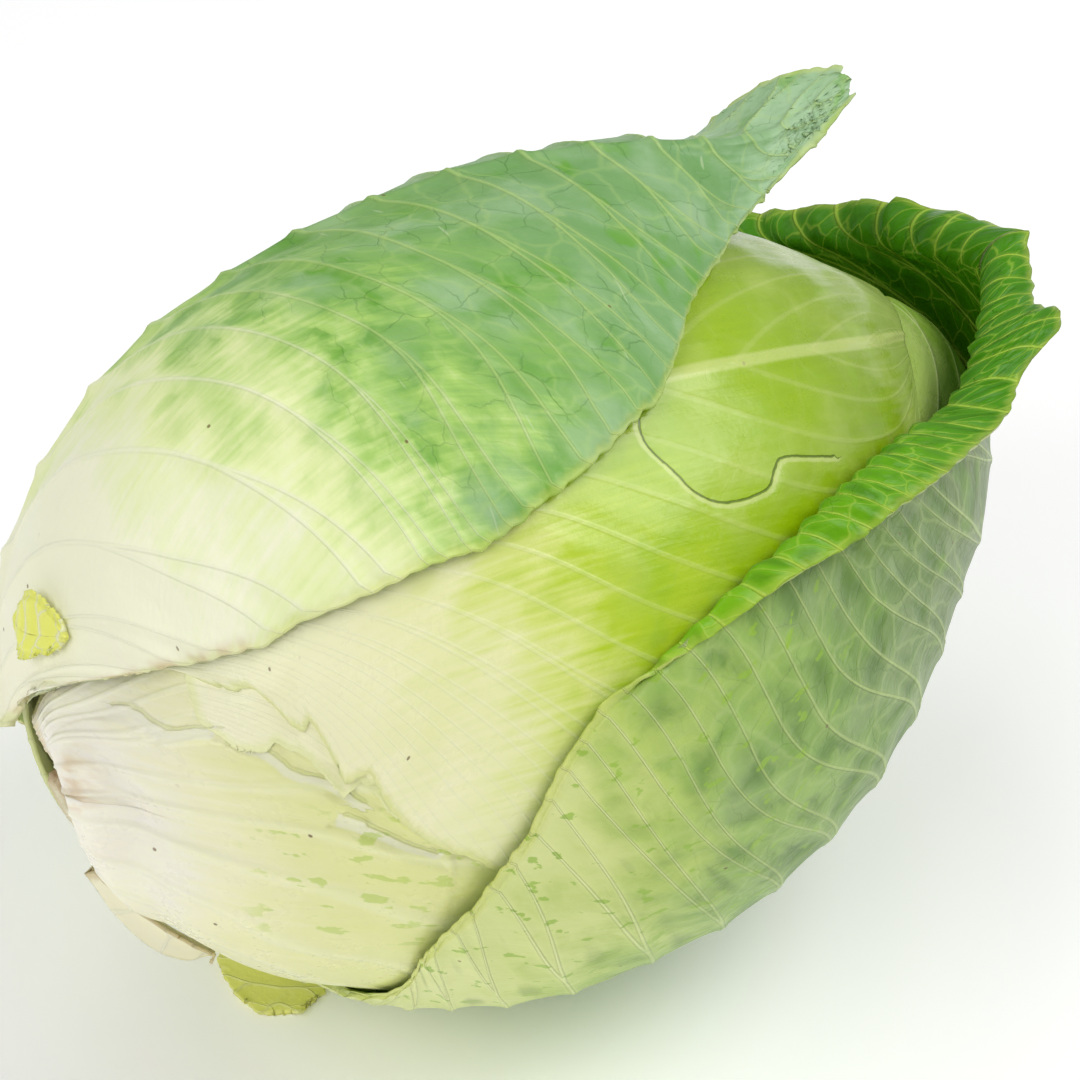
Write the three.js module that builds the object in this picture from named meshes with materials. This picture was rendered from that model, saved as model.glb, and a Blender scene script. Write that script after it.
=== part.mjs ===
import * as THREE from 'three';

// A pointed head of cabbage lying on its side. Lengths are in millimetres.
// +X runs along the head from the stem end to the tip, +Z is up, and the
// origin is on the surface below the middle of the head's resting spot.

const STEM_REACH = 90;
const TIP_REACH = 112;
const HEAD_RADIUS = 65;
const AXIS_HEIGHT = 70;

// Roundness of the stem end, taper and bluntness of the tip
const STEM_ROUNDING = 0.92;
const STEM_FULLNESS = 1.1;
const TIP_TAPER = 2;
const TIP_BLUNTNESS = 25;

// How far each layer's inner face lies from the nominal head surface
const HEART_OFFSET = -2.8;
const FIRST_LAYER = -0.4;
const SECOND_LAYER = 1.6;
const WRAPPER_LAYER = 3.8;

// Leaf thickness by layer
const HEAD_LEAF = 0.9;
const WRAPPER_LEAF = 1.1;
const SCRAP_LEAF = 1.2;
const BASE_FLESH = 4.5;

const rad = THREE.MathUtils.degToRad;
const vec = (x, y, z) => new THREE.Vector3(x, y, z);

// The head's meridian: angle 0 is the stem end and 180 degrees the tip
function meridian(tau) {
  const along = Math.abs(Math.cos(tau));
  const across = Math.sin(tau);
  if (tau < Math.PI / 2) {
    return [-STEM_REACH * along ** STEM_ROUNDING, HEAD_RADIUS * across ** STEM_FULLNESS];
  }
  const blunt = TIP_BLUNTNESS * along ** 8 * across ** 0.6;
  return [TIP_REACH * along, HEAD_RADIUS * across ** TIP_TAPER + blunt];
}

const MERIDIAN_STEPS = 240;
const meridianPoints = [];
for (let i = 0; i <= MERIDIAN_STEPS; i++) {
  const tau = Math.min(Math.max((Math.PI * i) / MERIDIAN_STEPS, 1e-6), Math.PI - 1e-6);
  meridianPoints.push(new THREE.Vector2(...meridian(tau)));
}

// Nearest point of the head's meridian, with its outward normal and the signed distance
function nearestOnMeridian(x, rho) {
  const at = new THREE.Vector2(x, rho);
  let best = null;
  for (let i = 0; i < MERIDIAN_STEPS; i++) {
    const a = meridianPoints[i];
    const step = meridianPoints[i + 1].clone().sub(a);
    const t = THREE.MathUtils.clamp(at.clone().sub(a).dot(step) / step.lengthSq(), 0, 1);
    const foot = a.clone().addScaledVector(step, t);
    const gap = foot.distanceTo(at);
    if (!best || gap < best.gap) {
      const normal = new THREE.Vector2(-step.y, step.x).normalize();
      best = { foot, normal, gap };
    }
  }
  const side = at.clone().sub(best.foot).dot(best.normal);
  return { foot: best.foot, normal: best.normal, distance: Math.sign(side) * best.gap };
}

const softMax = (a, b, soft = 0.5) => (a + b + Math.hypot(a - b, soft)) / 2;

// Moves a point outwards until it clears the head's surface by the given distance
function clearOfHead(point, clearance) {
  const rho = Math.hypot(point.y, point.z);
  const near = nearestOnMeridian(point.x, rho);
  const reach = softMax(near.distance, clearance);
  const newRho = near.foot.y + near.normal.y * reach;
  const scale = newRho / Math.max(rho, 1e-6);
  return vec(near.foot.x + near.normal.x * reach, point.y * scale, point.z * scale);
}

// A point at a distance from the head's surface: tau runs from the stem end to the tip,
// psi turns from the top (0) over the near side (90) to the underside (180)
function on(tau, psi, distance) {
  const t = rad(tau);
  const [x, rho] = meridian(t);
  const [x2, rho2] = meridian(t + 1e-4);
  const normal = new THREE.Vector2(-(rho2 - rho), x2 - x).normalize();
  const r = rho + normal.y * distance;
  return vec(x + normal.x * distance, -r * Math.sin(rad(psi)), r * Math.cos(rad(psi)));
}

const curve = (points) => new THREE.CatmullRomCurve3(points, false, 'catmullrom', 0.5);

// One row of a leaf, from its spine to its edge, arched round the head's axis
const HUB_BACK = -60;
const HUB_FRONT = 72;
function arch(from, to, v) {
  const hub = vec(THREE.MathUtils.clamp((from.x + to.x) / 2, HUB_BACK, HUB_FRONT), 0, 0);
  const a = from.clone().sub(hub);
  const b = to.clone().sub(hub);
  const angle = Math.max(a.angleTo(b), 1e-4);
  const length = THREE.MathUtils.lerp(a.length(), b.length(), v);
  const direction = a
    .normalize()
    .multiplyScalar(Math.sin((1 - v) * angle))
    .addScaledVector(b.normalize(), Math.sin(v * angle))
    .normalize();
  return hub.addScaledVector(direction, length);
}

// Closed body between two faces of a grid, both split into triangles alike
function shellGeometry(inner, outer) {
  const rows = inner.length;
  const cols = inner[0].length;
  const positions = [...inner.flat(), ...outer.flat()].flatMap((p) => p.toArray());
  const index = (face, i, j) => face * rows * cols + i * cols + j;
  const triangles = [];
  const quad = (a, b, c, d) => triangles.push(a, b, c, a, c, d);
  for (let i = 0; i < rows - 1; i++) {
    for (let j = 0; j < cols - 1; j++) {
      const corners = [[i, j], [i, j + 1], [i + 1, j + 1], [i + 1, j]];
      const [a, b, c, d] = corners.map(([r, s]) => index(1, r, s));
      const [e, f, g, h] = corners.map(([r, s]) => index(0, r, s));
      quad(a, b, c, d);
      triangles.push(e, g, f, e, h, g);
    }
  }
  for (let j = 0; j < cols - 1; j++) {
    quad(index(0, 0, j), index(0, 0, j + 1), index(1, 0, j + 1), index(1, 0, j));
    quad(index(0, rows - 1, j + 1), index(0, rows - 1, j), index(1, rows - 1, j), index(1, rows - 1, j + 1));
  }
  for (let i = 0; i < rows - 1; i++) {
    quad(index(0, i + 1, 0), index(0, i, 0), index(1, i, 0), index(1, i + 1, 0));
    quad(index(0, i, cols - 1), index(0, i + 1, cols - 1), index(1, i + 1, cols - 1), index(1, i, cols - 1));
  }
  const geometry = new THREE.BufferGeometry();
  geometry.setAttribute('position', new THREE.Float32BufferAttribute(positions, 3));
  geometry.setIndex(triangles);
  geometry.computeVertexNormals();
  return geometry;
}

// Unit normals of a grid of points, from its neighbours
function gridNormals(grid) {
  const last = grid.length - 1;
  return grid.map((row, i) =>
    row.map((_, j) => {
      const along = grid[Math.min(i + 1, last)][j].clone().sub(grid[Math.max(i - 1, 0)][j]);
      const across = row[Math.min(j + 1, row.length - 1)].clone().sub(row[Math.max(j - 1, 0)]);
      return across.cross(along).normalize();
    })
  );
}

// The stem end stands a little higher than the middle of the head
const STEM_RISE = 5;
const RISE_START = 20;
const riseAt = (x) => STEM_RISE * (Math.max(RISE_START - x, 0) / (RISE_START + STEM_REACH)) ** 1.5;

// A leaf is a grid of rows. Each row crosses the spine and runs out to both edges,
// where the edge bends outwards and rolls on an arc. The inner face keeps clear of the head,
// and the outer face carries the ribs. A leaf under the head has its rows the other way round.
function leafGeometry(leaf) {
  const spine = curve(leaf.spine);
  const edges = [curve(leaf.far), curve(leaf.near)];
  const rollSteps = leaf.rollSteps ?? 1;
  const roll = leaf.roll ?? (() => [1.5, 0.1]);
  const lift = leaf.lift ?? (() => 0);
  const halfRow = (u, side) => {
    const from = spine.getPoint(u);
    const to = edges[side].getPoint(u);
    const points = [];
    for (let j = 0; j <= leaf.cols; j++) {
      const v = j / leaf.cols;
      const point = arch(from, to, v);
      const rise = lift(u, v, side);
      const up = vec(0, point.y, point.z).normalize();
      points.push(clearOfHead(point.addScaledVector(up, rise), leaf.clear(u, v, side)));
    }
    const crest = points[leaf.cols];
    const tangent = crest.clone().sub(points[leaf.cols - 1]).normalize();
    const forward = THREE.MathUtils.smoothstep(u, 0.88, 1);
    tangent.lerp(spine.getTangent(u), forward * (leaf.pointed ?? 0)).normalize();
    const outward = vec(Math.max(crest.x - HUB_FRONT, 0), crest.y, crest.z);
    outward.addScaledVector(tangent, -outward.dot(tangent)).normalize();
    const [width, turn, sharpness = 1] = roll(u, side);
    let last = crest;
    for (let k = 1; k <= rollSteps; k++) {
      const angle = turn * (1 - (1 - (k - 0.5) / rollSteps) ** sharpness);
      const stride = width / rollSteps;
      last = last
        .clone()
        .addScaledVector(tangent, stride * Math.cos(angle))
        .addScaledVector(outward, stride * Math.sin(angle));
      points.push(last);
    }
    return points;
  };
  const inner = [];
  for (let i = 0; i <= leaf.rows; i++) {
    const u = i / leaf.rows;
    const row = [...halfRow(u, 0).slice(1).reverse(), ...halfRow(u, 1)];
    inner.push(leaf.under ? row.reverse() : row);
  }
  const normals = gridNormals(inner);
  const middle = leaf.cols + rollSteps;
  const outer = inner.map((row, i) =>
    row.map((point, j) => {
      const v = Math.min(Math.abs(j - middle) / leaf.cols, 1);
      const side = j > middle !== Boolean(leaf.under) ? 1 : 0;
      return point.clone().addScaledVector(normals[i][j], leaf.thickness(i / leaf.rows, v, side));
    })
  );
  const thin = leaf.thickness(0.5, 1);
  inner.flat().forEach((p) => p.setZ(Math.max(p.z, thin - AXIS_HEIGHT - riseAt(p.x))));
  outer.flat().forEach((p) => p.setZ(Math.max(p.z, -AXIS_HEIGHT - riseAt(p.x))));
  return shellGeometry(inner, outer);
}

// Height of the ribs on a leaf's outer face: side ribs follow its rows and fade to the edge
function ribs(leafThickness, count, ribHeight, midribHeight) {
  return (u, v) => {
    const side = Math.max(Math.cos(2 * Math.PI * u * count), 0) ** 3 * ribHeight * (1 - 0.7 * v);
    const mid = midribHeight * (1 - 0.75 * u) * Math.exp(-((v / 0.09) ** 2));
    return leafThickness + side + mid;
  };
}

// Width of the fringe outside a leaf's edge, in fine teeth
const toothed = (u, teeth) => 1.7 + 0.9 * Math.sin(2 * Math.PI * teeth * u);

const CREAM = { color: 0xeff0dc, roughness: 0.45 };
const PALE = { color: 0xe6eccb, roughness: 0.45 };
const LIME = { color: 0xb3cf3c, roughness: 0.4 };
const GREY_GREEN = { color: 0x8fb98a, roughness: 0.55 };
const LEAF_GREEN = { color: 0x9cbf74, roughness: 0.5 };
const CUT = { color: 0xd9cba8, roughness: 0.8 };

// What comes within a fraction of a millimetre of the floor is pressed flat on it
const PRESSED_DEPTH = 0.2;
function settle(geometry) {
  const position = geometry.getAttribute('position');
  for (let i = 0; i < position.count; i++) {
    const z = position.getZ(i) + riseAt(position.getX(i));
    position.setZ(i, z < PRESSED_DEPTH - AXIS_HEIGHT ? -AXIS_HEIGHT : z);
  }
}

const cabbage = new THREE.Group();
function add(name, finish, geometry) {
  settle(geometry);
  const mesh = new THREE.Mesh(geometry, new THREE.MeshStandardMaterial({ metalness: 0, ...finish }));
  mesh.name = name;
  mesh.position.z = AXIS_HEIGHT;
  cabbage.add(mesh);
}

// The tight head: rings round the axis, closed by a point at each end
const HEART_RINGS = 26;
const HEART_SECTORS = 28;
function heartGeometry() {
  const positions = [-STEM_REACH - HEART_OFFSET, 0, 0];
  for (let i = 1; i < HEART_RINGS; i++) {
    for (let j = 0; j < HEART_SECTORS; j++) {
      positions.push(...on((180 * i) / HEART_RINGS, (360 * j) / HEART_SECTORS, HEART_OFFSET).toArray());
    }
  }
  positions.push(TIP_REACH + HEART_OFFSET, 0, 0);
  const ring = (i, j) => 1 + (i - 1) * HEART_SECTORS + (j % HEART_SECTORS);
  const tip = positions.length / 3 - 1;
  const triangles = [];
  for (let j = 0; j < HEART_SECTORS; j++) {
    triangles.push(0, ring(1, j + 1), ring(1, j));
    triangles.push(tip, ring(HEART_RINGS - 1, j), ring(HEART_RINGS - 1, j + 1));
    for (let i = 1; i < HEART_RINGS - 1; i++) {
      triangles.push(ring(i, j), ring(i, j + 1), ring(i + 1, j + 1));
      triangles.push(ring(i, j), ring(i + 1, j + 1), ring(i + 1, j));
    }
  }
  const geometry = new THREE.BufferGeometry();
  geometry.setAttribute('position', new THREE.Float32BufferAttribute(positions, 3));
  geometry.setIndex(triangles);
  geometry.computeVertexNormals();
  return geometry;
}
add('heart', LIME, heartGeometry());

// Leaf that hoods the head's tip
const tipLeaf = {
  spine: [
    on(112, 76, 0), on(130, 70, 0), on(150, 62, 0), on(172, 60, 0),
    on(168, -120, 0), on(150, -125, 0), on(134, -130, 0),
  ],
  near: [
    on(114, 104, 0), on(132, 116, 0), on(150, 130, 0), on(160, 150, 0),
    on(150, -175, 0), on(138, -165, 0), on(128, -158, 0),
  ],
  far: [
    on(114, 44, 0), on(128, 30, 0), on(142, 15, 0), on(154, -10, 0),
    on(148, -60, 0), on(138, -90, 0), on(126, -105, 0),
  ],
  rows: 14,
  cols: 5,
  clear: () => FIRST_LAYER,
  thickness: ribs(HEAD_LEAF, 5, 0.2, 0.2),
};
add('tip_leaf', PALE, leafGeometry(tipLeaf));

// Head leaf on the near side, thick and fleshy where it grows from the stem
const paleLeaf = {
  spine: [
    on(4, 20, 0), on(12, 62, 0), on(24, 76, 0), on(40, 82, 0), on(58, 88, 0), on(80, 92, 0), on(104, 92, 0),
  ],
  near: [
    on(15, 140, 0), on(24, 150, 0), on(36, 154, 0), on(50, 158, 0), on(66, 158, 0),
    on(86, 150, 0), on(108, 120, 0),
  ],
  far: [
    on(14, -70, 0), on(17, -25, 0), on(26, 12, 0), on(40, 30, 0), on(58, 48, 0), on(80, 62, 0),
    on(106, 72, 0),
  ],
  rows: 22,
  cols: 7,
  clear: () => FIRST_LAYER,
  thickness: (u, v, side) => {
    const across = side === 1 ? 1 - 0.4 * v : (1 - v) ** 2;
    const along = THREE.MathUtils.smoothstep(u, 0, 0.1) * (1 - THREE.MathUtils.smoothstep(u, 0.14, 0.26));
    return HEAD_LEAF + BASE_FLESH * across * along;
  },
};
add('pale_leaf', CREAM, leafGeometry(paleLeaf));

// Head leaf on the far side
const sideLeaf = {
  spine: [on(26, -92, 0), on(42, -90, 0), on(62, -88, 0), on(84, -88, 0), on(106, -90, 0), on(122, -92, 0)],
  near: [on(28, -40, 0), on(42, -32, 0), on(62, -30, 0), on(84, -34, 0), on(104, -48, 0), on(118, -66, 0)],
  far: [
    on(28, -150, 0), on(42, -158, 0), on(62, -160, 0), on(84, -158, 0), on(104, -146, 0), on(118, -122, 0),
  ],
  rows: 16,
  cols: 6,
  clear: () => FIRST_LAYER,
  thickness: ribs(HEAD_LEAF, 6, 0.2, 0.2),
};
add('side_leaf', PALE, leafGeometry(sideLeaf));

// Cap leaf over the near side and the top, torn along its lower edge by the stem end
// Width left outside the cap leaf's torn edge, from its base: tears run in between the peaks
const TEARS = [
  [0, 1], [0.06, 3.5], [0.09, 0.5], [0.15, 6], [0.18, 0.5], [0.24, 7], [0.27, 0.6], [0.33, 6.5], [0.36, 0.8],
  [0.42, 3], [0.47, 1.5], [1, 1.5],
];
function torn(u) {
  const next = Math.max(TEARS.findIndex(([at]) => at >= u), 1);
  const [[from, a], [to, b]] = [TEARS[next - 1], TEARS[next]];
  return THREE.MathUtils.mapLinear(u, from, to, a, b);
}
const capLeaf = {
  spine: [
    on(26, 4, 0), on(42, 12, 0), on(60, 20, 0), on(78, 25, 0), on(94, 28, 0), on(108, 31, 0),
    on(123, 33, 0), on(137, 32, 0),
  ],
  near: [
    on(31, 24, 0), on(41, 43, 0), on(48, 60, 0), on(56, 80, 0), on(72, 100, 0), on(92, 112, 0),
    on(112, 98, 0), on(126, 63, 0),
  ],
  far: [
    on(27, -18, 0), on(42, -40, 0), on(60, -60, 0), on(78, -68, 0), on(94, -66, 0),
    on(110, -52, 0), on(128, -34, 0), on(145, 4, 0),
  ],
  rows: 34,
  cols: 8,
  roll: (u, side) => [side === 1 ? torn(u) : 1.5, 0.1],
  clear: () => SECOND_LAYER,
  thickness: ribs(HEAD_LEAF, 9, 0.25, 0.4),
};
add('cap_leaf', LIME, leafGeometry(capLeaf));

// Cut end of the stem
const STEM_PLACE = [13, -160];
const STEM_RADIUS = 9.5;
const STEM_STANDS = 1.6;
const STEM_SIDES = 20;
function stemGeometry() {
  const foot = on(...STEM_PLACE, HEART_OFFSET + 0.6);
  const axis = on(...STEM_PLACE, 10).sub(foot).normalize();
  const across = vec(0, 1, 0).cross(axis).normalize();
  const beside = axis.clone().cross(across);
  const ring = (radius, height, hugging) =>
    [...Array(STEM_SIDES).keys()].map((k) => {
      const turn = (2 * Math.PI * k) / STEM_SIDES;
      const point = foot
        .clone()
        .addScaledVector(across, radius * Math.cos(turn))
        .addScaledVector(beside, radius * Math.sin(turn))
        .addScaledVector(axis, height);
      return hugging ? clearOfHead(point, HEART_OFFSET + 0.5) : point;
    });
  const rings = [
    ring(0.02, 0, true), ring(STEM_RADIUS * 0.5, -4, true), ring(STEM_RADIUS, -8, true),
    ring(STEM_RADIUS, STEM_STANDS, false), ring(STEM_RADIUS * 0.93, STEM_STANDS + 0.6, false),
    ring(STEM_RADIUS * 0.5, STEM_STANDS + 0.2, false), ring(0.02, STEM_STANDS, false),
  ];
  const positions = rings.flat().flatMap((p) => p.toArray());
  const at = (i, k) => i * STEM_SIDES + (k % STEM_SIDES);
  const triangles = [];
  for (let i = 0; i < rings.length - 1; i++) {
    for (let k = 0; k < STEM_SIDES; k++) {
      triangles.push(at(i, k), at(i + 1, k + 1), at(i + 1, k));
      triangles.push(at(i, k), at(i, k + 1), at(i + 1, k + 1));
    }
  }
  for (let k = 1; k < STEM_SIDES - 1; k++) {
    triangles.push(at(0, 0), at(0, k + 1), at(0, k));
    triangles.push(at(rings.length - 1, 0), at(rings.length - 1, k), at(rings.length - 1, k + 1));
  }
  const geometry = new THREE.BufferGeometry();
  geometry.setAttribute('position', new THREE.Float32BufferAttribute(positions, 3));
  geometry.setIndex(triangles);
  geometry.computeVertexNormals();
  return geometry;
}
add('stem', CUT, stemGeometry());

// Upper wrapper leaf, laid over the top of the head, its point standing out past the tip
const upperWrapper = {
  spine: [
    on(14, -72, 3.8), on(30, -64, 3.8), on(50, -57, 3.8), on(66, -49, 4.2), on(80, -40, 5),
    vec(1, 34, 63.5), vec(21, 22, 70.5), vec(40, 10, 72), vec(58, 6.5, 67.5),
    vec(74, 6.5, 64.5), vec(91, 7, 69),
  ],
  near: [
    on(16, -25, 3.8), on(28, 20, 3.8), on(43, 33, 3.8), on(60, 36, 3.8), on(72, 37, 3.8),
    on(84, 34, 3.8), on(94, 29, 3.8), on(104, 17, 4), vec(48, -6, 60), vec(67, 1, 60.5), vec(88.5, 5, 67),
  ],
  far: [
    on(18, -84, 3.8), on(30, -102, 3.8), on(45, -120, 3.8), on(62, -130, 3.8), on(78, -130, 3.8),
    on(92, -122, 3.8), on(105, -110, 4.5), vec(50, 54, 26), vec(68, 37, 40), vec(80, 21, 63),
    vec(91, 9, 69.5),
  ],
  rows: 33,
  cols: 8,
  roll: (u) => [toothed(u, 11), 0.2],
  pointed: 0.7,
  clear: () => WRAPPER_LAYER,
  thickness: ribs(WRAPPER_LEAF, 11, 0.7, 1.8),
};
add('wrapper_leaf_upper', GREY_GREEN, leafGeometry(upperWrapper));

// Lower wrapper leaf, a trough under the head that closes round the tip like a prow
const lowerWrapper = {
  spine: [
    on(56, 174, 3.8), on(64, 168, 3.8), on(74, 161, 4), on(87, 156, 4.5), on(102, 153, 4.5),
    on(115, 150, 4.5),
    on(128, 146, 4.5), vec(96, -12, -28), vec(111, -10.5, -13), vec(117, -10, 6), vec(113, -9.8, 27),
  ],
  near: [
    on(56, 160, 2.4), on(55, 130, 2.3), on(55, 108, 2.3), on(62, 90, 3.6), on(72, 70.5, 3.8),
    on(86, 61.5, 4.5),
    on(100, 56.5, 6), on(113, 53.5, 7), vec(76.5, -36.5, 26.5), vec(96, -25, 27), vec(113, -10, 28),
  ],
  far: [
    on(57, -173, 4.5), on(62, -153, 6), on(68, -130, 8), on(75, -115, 9), on(86, -108, 10),
    on(97, -104, 10),
    vec(42, 62, -5), vec(70, 57, 4.5), vec(96, 44, 10), vec(111, 21, 18.5), vec(113, -9.6, 28),
  ],
  rows: 36,
  cols: 8,
  under: true,
  rollSteps: 6,
  pointed: 1,
  roll: (u, side) => {
    const { lerp, smoothstep } = THREE.MathUtils;
    const grow = side === 1 ? smoothstep(u, 0.42, 0.74) : smoothstep(u, 0.6, 0.8);
    const fold = side === 1 ? smoothstep(u, 0.42, 0.5) : grow;
    const prow = smoothstep(u, 0.9, 1);
    const corner = side === 1 ? Math.exp(-(((u - 0.88) / 0.03) ** 2)) : 0;
    const width = lerp(side === 1 ? 14 : 10, 12, prow) + 9 * corner;
    const turn = lerp(side === 1 ? 2.6 : 1.7, 2, prow);
    const sharpness = lerp(side === 1 ? 3 : 1, 1.5, prow);
    return [toothed(u, 12) + grow * width, 0.15 + fold * turn, sharpness];
  },
  lift: (u, v) => -12 * Math.sin(Math.PI * v) * Math.exp(-(((u - 0.72) / 0.11) ** 2)),
  clear: (u, v, side) => {
    const hug = 1.5 * (1 - THREE.MathUtils.smoothstep(u, 0.1, 0.25)) * Math.min(2 * v, 1);
    const room = 3.6 - 2.4 * THREE.MathUtils.smoothstep(u, 0.55, 0.7);
    return WRAPPER_LAYER + (side === 1 ? -hug : room * Math.min(v * 3, 1));
  },
  thickness: ribs(WRAPPER_LEAF, 12, 0.6, 2),
};
add('wrapper_leaf_lower', LEAF_GREEN, leafGeometry(lowerWrapper));

// Leaf remnants: a torn corner beside the upper wrapper's base, a curled strip that hangs
// by the stem, and a flap that lies on the surface under the head
const cornerScrap = {
  spine: [on(25.5, -29, 7), on(24.8, -19, 7.4), on(26, -9, 7)],
  near: [on(24.5, -28, 7), on(22, -18, 7.4), on(24.5, -9, 7)],
  far: [on(26.5, -29, 7.4), on(27.5, -20, 8), on(27.5, -10, 7.6)],
  rows: 6,
  cols: 2,
  clear: () => WRAPPER_LAYER + WRAPPER_LEAF + 2,
  thickness: () => SCRAP_LEAF,
};
add('leaf_scrap_corner', LIME, leafGeometry(cornerScrap));

const curledScrap = {
  spine: [
    vec(-86, 7, -27), vec(-85, 0, -32), vec(-83, -6, -36), vec(-79, -11, -38.5), vec(-74, -13, -38.5),
  ],
  near: [
    vec(-85, 4, -25), vec(-82, -2, -28), vec(-79, -8, -31.5), vec(-75, -12, -34.5), vec(-72, -13, -36),
  ],
  far: [vec(-83, 9, -28), vec(-80, 4, -34), vec(-78, -2, -38.5), vec(-74, -8, -40.5), vec(-72, -11, -39.5)],
  rows: 8,
  cols: 3,
  clear: () => SECOND_LAYER + 1.4,
  thickness: () => SCRAP_LEAF,
};
add('leaf_scrap_curled', PALE, leafGeometry(curledScrap));

const flatScrap = {
  spine: [vec(-41, 14, -68), vec(-46, 8, -69.5), vec(-50, 2, -71), vec(-54, -3, -71)],
  near: [vec(-38, 7, -68.3), vec(-42, 1, -70), vec(-45, -3, -71), vec(-52, -4.5, -71)],
  far: [vec(-46, 22, -67.5), vec(-52, 16, -69), vec(-56, 8, -71), vec(-56, -2, -71)],
  rows: 8,
  cols: 3,
  clear: () => WRAPPER_LAYER + 4.6,
  thickness: () => SCRAP_LEAF,
};
add('leaf_scrap_flat', LIME, leafGeometry(flatScrap));

export default cabbage;
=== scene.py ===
import math

import bpy
import numpy as np
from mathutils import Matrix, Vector


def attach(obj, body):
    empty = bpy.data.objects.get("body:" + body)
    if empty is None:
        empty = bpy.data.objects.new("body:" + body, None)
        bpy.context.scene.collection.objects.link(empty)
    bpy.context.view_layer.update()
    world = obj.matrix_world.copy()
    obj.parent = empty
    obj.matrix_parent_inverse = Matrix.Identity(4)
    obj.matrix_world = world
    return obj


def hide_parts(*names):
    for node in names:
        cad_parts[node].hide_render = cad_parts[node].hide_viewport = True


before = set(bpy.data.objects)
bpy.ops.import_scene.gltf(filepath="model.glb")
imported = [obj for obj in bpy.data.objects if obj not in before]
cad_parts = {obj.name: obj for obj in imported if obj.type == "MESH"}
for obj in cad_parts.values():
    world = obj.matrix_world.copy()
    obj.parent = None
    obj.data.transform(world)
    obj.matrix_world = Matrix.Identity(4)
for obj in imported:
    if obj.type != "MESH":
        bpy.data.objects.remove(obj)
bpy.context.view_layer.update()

MM = 0.001

# Shape of the head, in millimetres round its own axis
STEM_REACH = 90
TIP_REACH = 112
HEAD_RADIUS = 65
AXIS_HEIGHT = 70
STEM_ROUNDING = 0.92
STEM_FULLNESS = 1.1
TIP_TAPER = 2
TIP_BLUNTNESS = 25
STEM_RISE = 5
RISE_START = 20
HUB_BACK = -60
HUB_FRONT = 72

# Distance of each layer's inner face from the head's surface, and leaf thickness
HEART_LAYER = -2.8
FIRST_LAYER = -0.4
SECOND_LAYER = 1.6
WRAPPER_LAYER = 3.8
HEAD_LEAF = 0.9
WRAPPER_LEAF = 1.1
SCRAP_LEAF = 1.2
BASE_FLESH = 4.5

# Veins: where each forks on its way to the edge, and how far its two branches spread, in vein
# spacings. The shuffle gives each vein its own fork
SHUFFLE = 12.9898
FORK_START = 0.3
FORK_RANGE = 0.35
FORK_SPREAD = 0.5
FORK_LIMIT = 0.25

# Relief of a leaf: half widths of a vein in vein spacings and of the midrib in millimetres, how
# much they shrink from the leaf's base to its edge or point, and how much thinner its edge is
VEIN_WIDTH = 0.085
VEIN_FADE = 0.65
MIDRIB_WIDTH = 2.6
MIDRIB_TAPER = 1.5
MIDRIB_FADE = 0.7
EDGE_THINNING = 0.45
FLOOR_GAP = 0.6

# Share of a leaf's length from which a pointed leaf's fringe turns forward, and its relief calms
POINT_START = 0.88
CALM_START = 0.92
CALM_END = 0.99

# Distance from a drawn line, in millimetres, at which it starts to fade and has faded
LINE_FADES = 1.2
LINE_ENDS = 2.5

# Points are moved clear of the head in batches, and softly within this many millimetres
BATCH = 8000
SOFTNESS = 0.5


def clamp01(x):
    return np.clip(x, 0, 1)


def ramp(x, low, high):
    """Smooth step from 0 at low to 1 at high."""
    t = clamp01((np.asarray(x, float) - low) / (high - low))
    return t * t * (3 - 2 * t)


def hump(x, centre, width):
    return np.exp(-(((x - centre) / width) ** 2))


# Smooth noise between 0 and 1 from a seeded lattice
LATTICE_SIZE = 64
LATTICE = np.random.default_rng(11).random((LATTICE_SIZE, LATTICE_SIZE))


def noise(x, y, shift=0):
    x = np.asarray(x, float) + 17.3 * shift
    y = np.asarray(y, float) + 5.7 * shift
    i = np.floor(x).astype(int)
    j = np.floor(y).astype(int)
    fx = ramp(x - i, 0, 1)
    fy = ramp(y - j, 0, 1)

    def corner(di, dj):
        return LATTICE[(i + di) % LATTICE_SIZE, (j + dj) % LATTICE_SIZE]

    low = corner(0, 0) * (1 - fx) + corner(1, 0) * fx
    high = corner(0, 1) * (1 - fx) + corner(1, 1) * fx
    return low * (1 - fy) + high * fy


def rough_noise(x, y, shift=0):
    """Three layers of noise, each half as strong and twice as fine."""
    total = noise(x, y, shift) + noise(2 * x, 2 * y, shift + 1) / 2 + noise(4 * x, 4 * y, shift + 2) / 4
    return total / 1.75


def meridian(tau):
    """Point (x, radius) of the head's outline: tau is 0 at the stem end and pi at the tip."""
    along = np.abs(np.cos(tau))
    across = np.sin(tau)
    stem_side = tau < math.pi / 2
    x = np.where(stem_side, -STEM_REACH * along**STEM_ROUNDING, TIP_REACH * along)
    tip_radius = HEAD_RADIUS * across**TIP_TAPER + TIP_BLUNTNESS * along**8 * across**0.6
    radius = np.where(stem_side, HEAD_RADIUS * across**STEM_FULLNESS, tip_radius)
    return x, radius


MERIDIAN = np.stack(meridian(np.clip(np.linspace(0, math.pi, 241), 1e-6, math.pi - 1e-6)), -1)


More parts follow.
